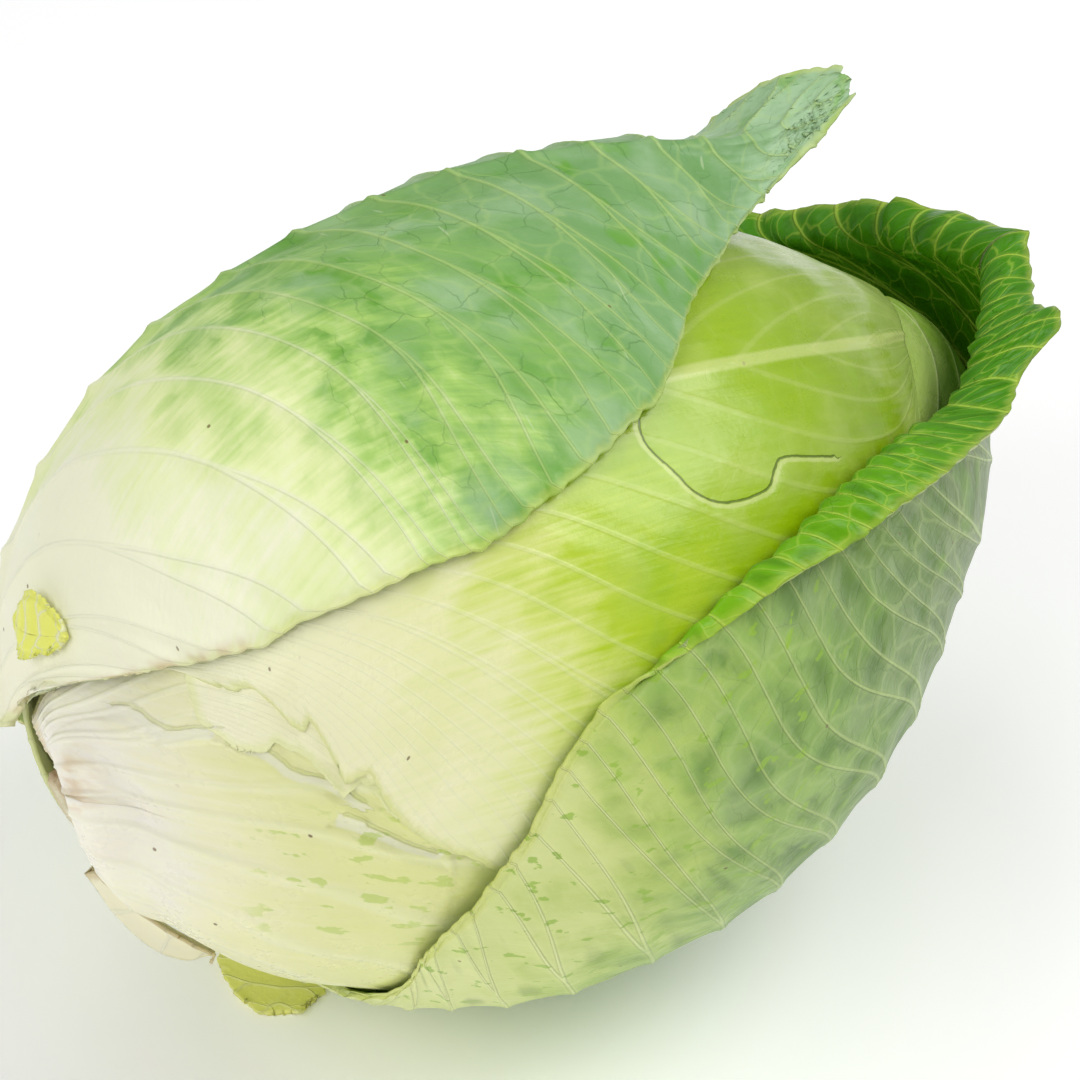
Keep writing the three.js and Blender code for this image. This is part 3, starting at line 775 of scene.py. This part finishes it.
lower_wrapper_inner_look = leaf_material("lower_wrapper_inner", {
    "tint": tau_tint(50, 140),
    "stops": [
        (0, (0.6, 0.7, 0.25)), (0.2, (0.36, 0.58, 0.06)), (0.36, (0.2, 0.46, 0.006)),
        (0.65, (0.12, 0.36, 0.002)), (1, (0.06, 0.25, 0.0)),
    ],
    "green_from": -1, "green_by": 0, "depth": 0.02, "bump": 0.7, "roughness": 0.34, "gloss": 0.2,
    "vein_colour": (0.4, 0.6, 0.06), "vein_share": 0.75, "vein_width": 0.065,
    "net": 0.25, "net_colour": (0.03, 0.12, 0.004), "light_net": 0.4, "net_size": 0.3,
    "puff_shade": 0.5, "dent_shade_colour": (0.035, 0.15, 0.001), "cell_shade": 0.5,
    "margin": 0.3, "specks": 0,
})
cap_look = leaf_material("cap_leaf", {
    "tint": tau_tint(28, 140),
    "stops": [
        (0.0, (0.92, 0.91, 0.62)), (0.2, (0.92, 0.91, 0.56)), (0.3, (0.85, 0.87, 0.44)),
        (0.385, (0.69, 0.78, 0.2)), (0.46, (0.47, 0.64, 0.02)), (0.56, (0.36, 0.55, 0.0)),
        (0.78, (0.29, 0.47, 0.0)), (0.93, (0.24, 0.39, 0.0)), (1.0, (0.34, 0.47, 0.1)),
    ],
    "vein_colour": (0.68, 0.75, 0.28), "vein_share": 0.16, "vein_width": 0.07, "vein_bump": 0.15,
    "net": 0.03, "net_colour": (0.2, 0.36, 0.01), "light_net": 0.04, "midrib": 0.5, "margin": 0.5,
    "roughness": 0.3, "coat": 0.3, "coat_roughness": 0.14, "depth": 0.06, "mottle": 0.16,
    "rub": 0.35, "rub_colour": (0.3, 0.52, 0.01), "bloom_and_sheen": 0.25, "bloom_and_sheen_colour": (0.66, 0.74, 0.24),
    "lip_and_highlight_share": 0.45, "crack_shadow_share": 0.75,
})
tip_look = leaf_material("tip_leaf", {
    "tint": tau_tint(110, 165),
    "stops": [
        (0, (0.45, 0.6, 0.12)), (0.6, (0.44, 0.6, 0.12)), (0.85, (0.46, 0.62, 0.16)),
        (1, (0.3, 0.5, 0.06)),
    ],
    "vein_colour": (0.66, 0.74, 0.32), "roughness": 0.3, "coat": 0.3, "net": 0.15,
})
pale_look = leaf_material("pale_leaf", {
    "tint": tau_tint(8, 110),
    "stops": [
        (0.0, (0.95, 0.92, 0.78)), (0.1, (0.95, 0.93, 0.7)), (0.2, (0.92, 0.9, 0.54)),
        (0.31, (0.84, 0.85, 0.39)), (0.46, (0.79, 0.83, 0.29)), (0.6, (0.66, 0.77, 0.16)),
        (1.0, (0.45, 0.62, 0.06)),
    ],
    "vein_colour": (0.9, 0.89, 0.76), "vein_share": 0.22, "vein_width": 0.16, "vein_bump": 0.2,
    "net": 0.03, "light_net": 0.03, "mottle": 0.12, "margin": 0.3, "specks": 0.9,
    "roughness": 0.3, "coat": 0.3, "depth": 0.25, "finish": pale_finish,
    "crack_shadow_colour": (0.6, 0.64, 0.24), "crack_shadow_share": 0.45, "lip_and_highlight": (0.9, 0.9, 0.7),
})
skin_look = leaf_material("torn_skin", {
    "tint": tau_tint(28, 90),
    "stops": [
        (0.0, (0.94, 0.92, 0.66)), (0.4, (0.9, 0.9, 0.52)), (0.7, (0.82, 0.86, 0.36)),
        (1.0, (0.66, 0.78, 0.2)),
    ],
    "vein_colour": (0.9, 0.9, 0.66), "vein_share": 0.2, "vein_bump": 0.2, "net": 0, "light_net": 0,
    "margin": 0.6, "margin_colour": (0.8, 0.84, 0.36), "specks": 0,
    "roughness": 0.3, "coat": 0.3, "depth": 0,
})
side_look = leaf_material("side_leaf", {
    "tint": tau_tint(10, 110),
    "stops": [
        (0.0, (0.82, 0.82, 0.62)), (0.4, (0.7, 0.77, 0.4)), (0.65, (0.5, 0.65, 0.14)),
        (1.0, (0.4, 0.58, 0.05)),
    ],
    "vein_colour": (0.76, 0.8, 0.48), "net": 0.1, "roughness": 0.35, "coat": 0.2, "vein_share": 0.5,
})
heart_look = leaf_material("heart", {
    "tint": tau_tint(0, 180),
    "stops": [(0.0, (0.8, 0.8, 0.6)), (0.4, (0.7, 0.75, 0.38)), (1.0, (0.34, 0.52, 0.05))],
    "vein_colour": (0.7, 0.76, 0.4), "net": 0.05, "roughness": 0.35, "specks": 0,
})
scrap_look = leaf_material("scrap_lime", {
    "tint": tau_tint(0, 90),
    "stops": [(0, (0.84, 0.88, 0.12)), (0.5, (0.86, 0.86, 0.2)), (1, (0.7, 0.78, 0.12))],
    "vein_colour": (0.78, 0.78, 0.38), "net": 0.1, "vein_width": 0.08, "margin": 0.2,
})
# Painted light: a brighter copy of the lime scrap's colour, lifting the flat scrap out of the shade it
# lies in
lightened_flap_look = leaf_material("scrap_flap_lightened", {
    "tint": tau_tint(0, 90),
    "stops": [(0, (0.9, 0.92, 0.2)), (0.5, (0.97, 0.94, 0.3)), (1, (0.85, 0.9, 0.18))],
    "vein_colour": (0.92, 0.92, 0.45), "net": 0.05, "vein_width": 0.08, "margin": 0.2, "specks": 0,
})
scrap_pale_look = leaf_material("scrap_pale", {
    "tint": tau_tint(0, 60),
    "stops": [(0, (0.92, 0.88, 0.7)), (0.6, (0.9, 0.87, 0.6)), (1, (0.6, 0.7, 0.12))],
    "vein_colour": (0.84, 0.82, 0.64), "net": 0.05, "margin": 0.6, "margin_colour": (0.5, 0.36, 0.12),
})


def stem_material():
    """Cut stem: pale pith, a ring of fibres, and a browned rim."""
    material, tree, shader = new_material("cut_stem")
    place = read(tree, "place", vector=True)
    ring = read(tree, "reach") + (cloud(place, 0.25, 4) - 0.5) * 0.25
    colour = colour_ramp(ring, [
        (0.0, (0.72, 0.66, 0.45)), (0.45, (0.66, 0.58, 0.36)), (0.62, (0.8, 0.76, 0.56)),
        (0.82, (0.7, 0.6, 0.38)), (1.0, (0.4, 0.26, 0.12)),
    ])
    fibres = cells(place, 1.1, "F1")[0].smooth(0.1, 0.5)
    colour = paint(fibres * 0.2, colour, (0.45, 0.34, 0.18))
    marks = cloud(stretched(place, (0.15, 1.6, 1)), 1, 3)
    colour = paint(marks.smooth(0.5, 0.7) * 0.35, colour, (0.82, 0.76, 0.56))
    connect(colour, shader.inputs["Base Color"])
    connect(marks * 0.3 + 0.55, shader.inputs["Roughness"])
    add_bump(shader, marks + fibres * 0.5, 0.6, STEM_BUMP)
    return material


def teeth(u, along_scale, shift):
    """Ragged outline of a margin: broad nicks with fine teeth on them, in millimetres."""
    broad = noise(u * along_scale, 0 * u + 0.5, shift) - 0.5
    fine = noise(u * along_scale * 3.1, 0 * u + 0.5, shift + 4) - 0.5
    sharp = np.abs(np.sin(u * along_scale * 4.7)) - 0.5
    return 1.6 * broad + 0.7 * fine + 0.35 * sharp


def upper_roll(u, side):
    return 1.9 + teeth(u, 34, 2 + side), 0.2, 1


def upper_ruffle(u, v, near, place):
    """The margin waves a little more than the rest of the leaf."""
    return 1.1 * ramp(v, 0.75, 1.0) * noise(place[..., 0] / 8, 0 * v + 0.5, 21)


make_leaf("upper_wrapper", "wrapper_leaf_upper",
          [upper_wrapper_look, upper_wrapper_inner_look], {
    "spine": [
        on(14, -72, 3.8), on(30, -64, 3.8), on(50, -57, 3.8), on(66, -49, 4.2), on(80, -40, 5),
        (1, 34, 63.5), (21, 22, 70.5), (40, 10, 72), (58, 6.5, 67.5), (74, 6.5, 64.5), (91, 7, 69),
    ],
    "near": [
        on(16, -25, 3.8), on(28, 20, 3.8), on(43, 33, 3.8), on(60, 36, 3.8), on(72, 37, 3.8),
        on(84, 34, 3.8), on(94, 29, 3.8), on(104, 17, 4), (48, -6, 60), (67, 1, 60.5), (88.5, 5, 67),
    ],
    "far": [
        on(18, -84, 3.8), on(30, -102, 3.8), on(45, -120, 3.8), on(62, -130, 3.8), on(78, -130, 3.8),
        on(92, -122, 3.8), on(105, -110, 4.5), (50, 54, 26), (68, 37, 40), (80, 21, 63), (91, 9, 69.5),
    ],
    "rows": 290, "cols": 68, "fringe_cols": 6, "pointed": 0.7, "veins": 18, "sweep": 0.1,
    "clear": even(WRAPPER_LAYER), "thickness": even(WRAPPER_LEAF),
    "roll": upper_roll, "extra": upper_ruffle,
    "ridge": 0.55, "midrib": 1.7, "puff": -0.35, "wave": 1.0,
})


def lower_roll(u, side):
    grow = ramp(u, 0.42, 0.74) if side else ramp(u, 0.6, 0.8)
    fold = ramp(u, 0.42, 0.5) if side else grow
    prow = ramp(u, 0.9, 1)
    corner = hump(u, 0.88, 0.03) if side else 0
    width = (14 if side else 10) * (1 - prow) + 12 * prow + 9 * corner
    turn = (2.6 if side else 1.7) * (1 - prow) + 2 * prow
    sharpness = (3 if side else 1) * (1 - prow) + 1.5 * prow
    fringe = 1.9 + teeth(u, 42, 9 + side)
    turn = turn * (1 + 0.18 * (noise(u * 24, 0 * u + 0.5, 19) - 0.5))
    return fringe + grow * width, 0.15 + fold * turn, sharpness


def lower_clear(u, v, side):
    if side:
        return WRAPPER_LAYER - 1.5 * (1 - ramp(u, 0.1, 0.25)) * np.minimum(2 * v, 1)
    return WRAPPER_LAYER + (3.6 - 2.4 * ramp(u, 0.55, 0.7)) * np.minimum(3 * v, 1)


make_leaf("lower_wrapper", "wrapper_leaf_lower",
          [lower_wrapper_look, lower_wrapper_inner_look], {
    "spine": [
        on(56, 174, 3.8), on(64, 168, 3.8), on(74, 161, 4), on(87, 156, 4.5), on(102, 153, 4.5),
        on(115, 150, 4.5), on(128, 146, 4.5), (96, -12, -28), (111, -10.5, -13), (117, -10, 6),
        (113, -9.8, 27),
    ],
    "near": [
        on(56, 160, 2.4), on(55, 130, 2.3), on(55, 108, 2.3), on(62, 90, 3.6), on(72, 70.5, 3.8),
        on(86, 61.5, 4.5), on(100, 56.5, 6), on(113, 53.5, 7), (76.5, -36.5, 26.5), (96, -25, 27),
        (113, -10, 28),
    ],
    "far": [
        on(57, -173, 4.5), on(62, -153, 6), on(68, -130, 8), on(75, -115, 9), on(86, -108, 10),
        on(97, -104, 10), (42, 62, -5), (70, 57, 4.5), (96, 44, 10), (111, 21, 18.5), (113, -9.6, 28),
    ],
    "under": True, "rows": 310, "cols": 60, "fringe_cols": 18, "pointed": 1, "veins": 21,
    "clear": lower_clear, "lift": lambda u, v, side: -12 * np.sin(np.pi * v) * hump(u, 0.72, 0.11),
    "thickness": even(WRAPPER_LEAF),
    "roll": lower_roll, "inner_puff": lambda u, v: 1.0 * ramp(v, 0.7, 0.95) * ramp(u, 0.4, 0.6),
    "ridge": 0.5, "midrib": 1.6, "puff": -0.45, "wave": 0.8,
})

# The long crack in the cap leaf, as (tau, psi)
CRACK = [
    (91.5, 31), (90, 36), (91, 42), (92, 46), (94.5, 49), (99, 50), (101, 48), (102.5, 47), (106, 49),
    (109, 51),
]


def drawn(line):
    """A smooth line through the given places on the head."""
    return curve([place_on(tau, psi) for tau, psi in line], np.linspace(0, 1, 8 * len(line)))


# Width left outside the cap leaf's torn edge, from its base: tears run in between the peaks
TEARS = [
    (0, 1), (0.06, 3), (0.1, 2), (0.13, 0.5), (0.17, 4.5), (0.2, 4), (0.22, 0.5), (0.28, 6.5),
    (0.32, 1.5), (0.36, 3.5), (0.42, 3), (0.47, 1.5), (1, 1.5),
]


def cap_roll(u, side):
    if not side:
        return 1.5 + 0.6 * teeth(u, 30, 14), 0.1, 1
    at, width = zip(*TEARS)
    return 0.5 + np.interp(u, at, width) + 0.5 * teeth(u, 40, 15), 0.1, 1


def cap_lumps(u, v, near, place):
    """The leaf is crumpled on top, towards its tip."""
    there = hump(u, 0.9, 0.1) * hump(v, 0.35, 0.3) * (1 - near)
    return 3.2 * there * noise(place[..., 0] / 9, place[..., 1] / 9, 41)


make_leaf("cap_leaf_skin", "cap_leaf", [cap_look], {
    "spine": laid((26, 4), (42, 12), (60, 20), (78, 25), (94, 28), (108, 31), (123, 33), (137, 32)),
    "near": laid((31, 24), (41, 43), (48, 60), (56, 80), (72, 100), (92, 112), (112, 98), (126, 63)),
    "far": laid(
        (27, -18), (42, -40), (60, -60), (78, -68), (94, -66), (110, -52), (128, -34), (145, 4),
    ),
    "rows": 270, "cols": 74, "fringe_cols": 6, "veins": 9, "sweep": 1.1,
    "clear": lambda u, v, side: SECOND_LAYER + 0.2 * (1 - ramp(u, 0.4, 0.6)) + 0 * v,
    "thickness": even(HEAD_LEAF),
    "roll": cap_roll, "extra": cap_lumps, "lines": [drawn(CRACK)], "line_step": 0.3,
    "ridge": 0.12, "midrib": 0.9, "puff": 0.15, "wave": 0.9,
})


def fan_phase(ribs):
    """Ribs that fan out from the leaf's base instead of leaving a midrib."""
    def phase(u, v, along, across):
        return ribs * v + 0.35 * np.sin(4 * u + v) + 0.5 * (noise(along / 30, across / 9, 6) - 0.5)
    return phase


# Torn edges of the thin skin on the pale leaf, as (tau, psi)
SKIN_TEARS = [
    [(44, 54), (47.5, 58), (49, 62), (51.5, 65), (58, 67)],
    [(52, 68), (54.5, 74), (57, 79), (57, 83)],
    [(36, 52), (39, 57), (41, 62), (45, 66), (48, 72)],
    [(45, 74), (49, 78), (52, 82), (55, 85)],
    [(22, 20), (25, 30), (27, 41), (33, 47)],
]


def pale_thickness(u, v, side):
    across = np.where(side, 1 - 0.4 * v, (1 - np.minimum(v, 1)) ** 2)
    return HEAD_LEAF + BASE_FLESH * across * ramp(u, 0, 0.1) * (1 - ramp(u, 0.14, 0.26))


make_leaf("pale_leaf_skin", "pale_leaf", [pale_look], {
    "spine": laid((4, 20), (12, 62), (24, 76), (40, 82), (58, 88), (80, 92), (104, 92)),
    "near": laid((15, 140), (24, 150), (36, 154), (50, 158), (66, 158), (86, 150), (108, 120)),
    "far": laid((14, -70), (17, -25), (26, 12), (40, 30), (58, 48), (80, 62), (106, 72)),
    "rows": 260, "cols": 74, "fringe_cols": 4, "phase": fan_phase(4),
    "clear": even(FIRST_LAYER),
    "thickness": pale_thickness, "lines": [drawn(line) for line in SKIN_TEARS], "line_step": 0.5,
    "ridge": 0.45, "midrib": 0.2, "puff": 0.1, "wave": 0.9,
})

# Width of the torn skin outside its edge, from its base
SKIN_PEAKS = [
    (0, 0.5), (0.12, 3.5), (0.22, 2.5), (0.25, 0.5), (0.38, 1.5), (0.52, 5), (0.56, 1), (0.74, 4),
    (0.9, 1.5), (1, 0.5),
]


def skin_roll(u, side):
    at, width = zip(*SKIN_PEAKS)
    reach = np.interp(u, at, width) if side else 0 * u
    return 0.5 + reach + 0.4 * teeth(u, 30, 23 + side), 0.1, 1


make_leaf("torn_skin", None, [skin_look], {
    "spine": laid((34, 28), (44, 38), (54, 48), (63, 58), (70, 70)),
    "near": laid((32, 42), (40, 54), (47, 64), (53, 73), (59, 82)),
    "far": laid((38, 20), (48, 30), (58, 38), (68, 48), (76, 64)),
    "rows": 220, "cols": 24, "fringe_cols": 8, "veins": 6, "sweep": 1,
    "clear": even(SECOND_LAYER + 0.3), "thickness": even(0.4),
    "roll": skin_roll, "ridge": 0.05, "midrib": 0, "puff": 0.05, "wave": 0.2,
})

make_leaf("side_leaf_skin", "side_leaf", [side_look], {
    "spine": laid((26, -92), (42, -90), (62, -88), (84, -88), (106, -90), (122, -92)),
    "near": laid((28, -40), (42, -32), (62, -30), (84, -34), (104, -48), (118, -66)),
    "far": laid((28, -150), (42, -158), (62, -160), (84, -158), (104, -146), (118, -122)),
    "rows": 200, "cols": 60, "veins": 9, "sweep": 0.45,
    "clear": even(FIRST_LAYER), "thickness": even(HEAD_LEAF),
    "ridge": 0.3, "midrib": 0.7, "puff": 0.2, "wave": 0.4,
})

make_leaf("tip_leaf_skin", "tip_leaf", [tip_look], {
    "spine": laid((112, 76), (130, 70), (150, 62), (172, 60), (168, -120), (150, -125), (134, -130)),
    "near": laid((114, 104), (132, 116), (150, 130), (160, 150), (150, -175), (138, -165), (128, -158)),
    "far": laid((114, 44), (128, 30), (142, 15), (154, -10), (148, -60), (138, -90), (126, -105)),
    "rows": 160, "cols": 40, "veins": 8, "sweep": 0.2,
    "clear": even(FIRST_LAYER), "thickness": even(HEAD_LEAF),
    "ridge": 0.3, "midrib": 0.3, "puff": 0.2, "wave": 0.4,
})


def make_heart():
    """The tight inner leaves, seen only in the gaps: a closed ball with overlapping leaf edges."""
    rings, sectors = 150, 220
    tau = np.linspace(0, 180, rings + 1)[1:-1]
    psi = np.linspace(-180, 180, sectors, endpoint=False)
    grid = np.array([[on(t, p, HEART_LAYER) for p in psi] for t in tau])
    t, p = np.meshgrid(tau, psi, indexing="ij")
    folds = (p / 72 + t / 90 + 0.15 * np.sin(np.radians(3 * p))) % 1
    step = 0.7 * ramp(folds, 0.0, 0.9) * (1 - ramp(folds, 0.96, 1)) * np.sin(np.radians(t))
    radial = unit(grid - np.stack([grid[..., 0] * 0.55, 0 * t, 0 * t], -1))
    grid = grid + radial * (step - 0.5)[..., None]
    ends = np.array([[-STEM_REACH - HEART_LAYER, 0, 0], [TIP_REACH + HEART_LAYER, 0, 0]])
    points = np.concatenate([grid.reshape(-1, 3), ends])
    count = (rings - 1) * sectors
    index = np.arange(count).reshape(rings - 1, sectors)
    after = np.roll(index, -1, axis=1)
    quads = np.stack([index[:-1], after[:-1], after[1:], index[1:]], -1).reshape(-1, 4)
    caps = []
    for k in range(0, sectors, 2):
        a, b, c = index[0, k], index[0, k + 1], index[0, (k + 2) % sectors]
        caps.append([count, c, b, a])
        a, b, c = index[-1, k], index[-1, k + 1], index[-1, (k + 2) % sectors]
        caps.append([count + 1, a, b, c])
    quads = np.concatenate([quads, np.array(caps)])
    flat_t = np.append(t.ravel(), [0, 180])
    flat_p = np.append(p.ravel(), [0, 0])
    none = 0 * flat_t
    attributes = {
        "phase": flat_p / 18, "reach": none, "margin": none + 20, "puff": none,
        "place": np.stack([flat_t * 1.1, flat_p * 1.1, none], -1), "tau": flat_t, "psi": flat_p,
        "line": none + 50, "line_on": none,
    }
    obj = build_mesh("heart_skin", points, quads, attributes, [heart_look])
    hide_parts("heart")
    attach(obj, "root")


make_heart()

STEM_TAU, STEM_PSI = 13, -160
STEM_RADIUS = 9.5
STEM_STANDS = 1.6


def make_stem():
    """The cut end of the stem: a low disc with a ragged rim, a sunken pith and knife marks."""
    sectors, rings = 120, 30
    foot = np.array(on(STEM_TAU, STEM_PSI, HEART_LAYER + 0.6))
    axis = unit(np.array(on(STEM_TAU, STEM_PSI, 10)) - foot)
    across = unit(np.cross([0, 1, 0], axis))
    beside = np.cross(axis, across)
    turn = np.linspace(0, 2 * math.pi, sectors, endpoint=False)[None]
    inwards = np.linspace(1, 0.01, rings)
    share = np.concatenate([inwards[::-1], np.ones(4), inwards])[:, None]
    ragged = 1 - 0.05 * noise(turn * 12 / math.pi, share, 31)
    sideways = STEM_RADIUS * share * ragged
    x, y = sideways * np.cos(turn), sideways * np.sin(turn)
    face = STEM_STANDS + 0.5 * hump(share, 0.8, 0.2) - 0.5 * hump(share, 0, 0.35)
    face = face + 0.4 * (noise(x, y * 2, 33) - 0.5) - 0.7 * ramp(share, 0.88, 1)
    back = np.arange(len(share))[:, None] < rings
    wall = clamp01((np.arange(len(share))[:, None] - rings + 1) / 5)
    height = np.where(back, 0, face * wall)
    grid = foot + x[..., None] * across + y[..., None] * beside + height[..., None] * axis
    grid = np.where(back[..., None], clear_of_head(grid, HEART_LAYER + 0.5), grid)
    index = np.arange(len(share) * sectors).reshape(len(share), sectors)
    after = np.roll(index, -1, axis=1)
    quads = np.stack([index[:-1], index[1:], after[1:], after[:-1]], -1).reshape(-1, 4)
    ends = []
    for k in range(1, sectors - 2, 2):
        ends.append([index[0, 0], index[0, k], index[0, k + 1], index[0, k + 2]])
        ends.append([index[-1, 0], index[-1, k + 2], index[-1, k + 1], index[-1, k]])
    quads = np.concatenate([quads, np.array(ends)])
    flat = np.stack([x, y, 0 * x], -1).reshape(-1, 3)
    attributes = {"place": flat, "reach": (share + 0 * turn).ravel()}
    obj = build_mesh("cut_stem", grid.reshape(-1, 3), quads, attributes, [stem_material()])
    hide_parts("stem")
    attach(obj, "root")


make_stem()

make_leaf("corner_scrap", "leaf_scrap_corner", [scrap_look], {
    "spine": [on(25.5, -27, 7), on(24.5, -16, 7.4), on(26.5, 0, 6.6)],
    "near": [on(24.8, -26, 7), on(22.3, -17, 7.6), on(25.5, -1, 6.8)],
    "far": [on(26.3, -27, 7.2), on(28.5, -19, 8.2), on(27.3, -2, 7.2)],
    "rows": 60, "cols": 16, "fringe_cols": 4, "veins": 4,
    "clear": even(WRAPPER_LAYER + WRAPPER_LEAF + 2), "thickness": even(SCRAP_LEAF),
    "roll": lambda u, side: (1.5 + teeth(u, 9, 30 + side), 0.1, 1),
    "ridge": 0.2, "midrib": 0.4, "wave": 0.8,
})

make_leaf("curled_scrap", "leaf_scrap_curled", [scrap_pale_look], {
    "spine": [(-86, 7, -27), (-85, 0, -32), (-83, -6, -36), (-79, -11, -38.5), (-74, -13, -38.5)],
    "near": [(-85, 4, -25), (-82, -2, -28), (-79, -8, -31.5), (-75, -12, -34.5), (-72, -13, -36)],
    "far": [(-83, 9, -28), (-80, 4, -34), (-78, -2, -38.5), (-74, -8, -40.5), (-72, -11, -39.5)],
    "rows": 80, "cols": 16, "fringe_cols": 4, "veins": 3,
    "clear": even(SECOND_LAYER + 1.4), "thickness": even(SCRAP_LEAF),
    "roll": lambda u, side: (1.5 + 0.6 * teeth(u, 9, 40 + side), 0.3, 1),
    "ridge": 0.2, "midrib": 0.5, "wave": 0.6,
})

make_leaf("flat_scrap", "leaf_scrap_flat", [lightened_flap_look], {
    "spine": [(-41, 14, -68), (-46, 8, -69.5), (-50, 2, -71), (-54, -3, -71)],
    "near": [(-38, 7, -68.3), (-42, 1, -70), (-45, -3, -71), (-52, -4.5, -71)],
    "far": [(-46, 22, -67.5), (-52, 16, -69), (-56, 8, -71), (-56, -2, -71)],
    "rows": 80, "cols": 18, "fringe_cols": 4, "veins": 4,
    "clear": even(WRAPPER_LAYER + 4.6), "thickness": even(SCRAP_LEAF),
    "roll": lambda u, side: (1.5 + teeth(u, 10, 50 + side), 0.1, 1),
    "ridge": 0.2, "midrib": 0.4, "wave": 0.6,
})

# The camera looks down on the near side: angles in degrees and distance in metres. Its shift is
# given in pixels of a frame that is 1080 wide
TARGET = Vector((0.009, 0, 0.071))
AZIMUTH, ELEVATION, DISTANCE = -40, 38, 0.6
LENS, SENSOR = 110, 36
FRAME_WIDTH = 1080
SHIFT_RIGHT, SHIFT_UP = 10, 30

# Soft lights: name, azimuth, elevation, distance, width, height and power
SOFTBOXES = [
    ("key", 55, 48, 1.2, 0.8, 0.8, 8.2),
    ("fill", -85, 38, 1.3, 1.0, 0.8, 6),
    ("back", 170, 60, 1.3, 0.8, 0.6, 2),
]
WORLD_LIGHT = 0.37
FLOOR_GLOW = 0.1
FLOOR_SIZE = 8
WHITE = (1, 1, 1, 1)


def aim(obj, azimuth, elevation, distance):
    """Sets a camera or a light at an angle and a distance, looking at the middle of the head."""
    a, e = math.radians(azimuth), math.radians(elevation)
    direction = Vector((math.sin(a) * math.cos(e), -math.cos(a) * math.cos(e), math.sin(e)))
    obj.location = TARGET + direction * distance
    obj.rotation_euler = direction.to_track_quat("Z", "Y").to_euler()
    bpy.context.scene.collection.objects.link(obj)


camera_data = bpy.data.cameras.new("camera")
camera_data.lens = LENS
camera_data.sensor_width = SENSOR
camera_data.shift_x = SHIFT_RIGHT / FRAME_WIDTH
camera_data.shift_y = SHIFT_UP / FRAME_WIDTH
camera = bpy.data.objects.new("camera", camera_data)
aim(camera, AZIMUTH, ELEVATION, DISTANCE)
bpy.context.scene.camera = camera

floor_material, _, floor_shader = new_material("floor")
floor_shader.inputs["Base Color"].default_value = WHITE
floor_shader.inputs["Emission Color"].default_value = WHITE
floor_shader.inputs["Emission Strength"].default_value = FLOOR_GLOW
floor_shader.inputs["Roughness"].default_value = 1
bpy.ops.mesh.primitive_plane_add(size=FLOOR_SIZE, location=(0, 0, 0))
floor = bpy.context.object
floor.name = "floor"
floor.data.materials.append(floor_material)

for name, azimuth, elevation, distance, width, height, power in SOFTBOXES:
    light = bpy.data.lights.new(name, "AREA")
    light.shape = "RECTANGLE"
    light.size = width
    light.size_y = height
    light.energy = power
    aim(bpy.data.objects.new(name, light), azimuth, elevation, distance)

world = bpy.data.worlds.new("studio")
world.use_nodes = True
world.node_tree.nodes["Background"].inputs["Color"].default_value = WHITE
world.node_tree.nodes["Background"].inputs["Strength"].default_value = WORLD_LIGHT
bpy.context.scene.world = world
bpy.context.scene.view_settings.view_transform = "Standard"
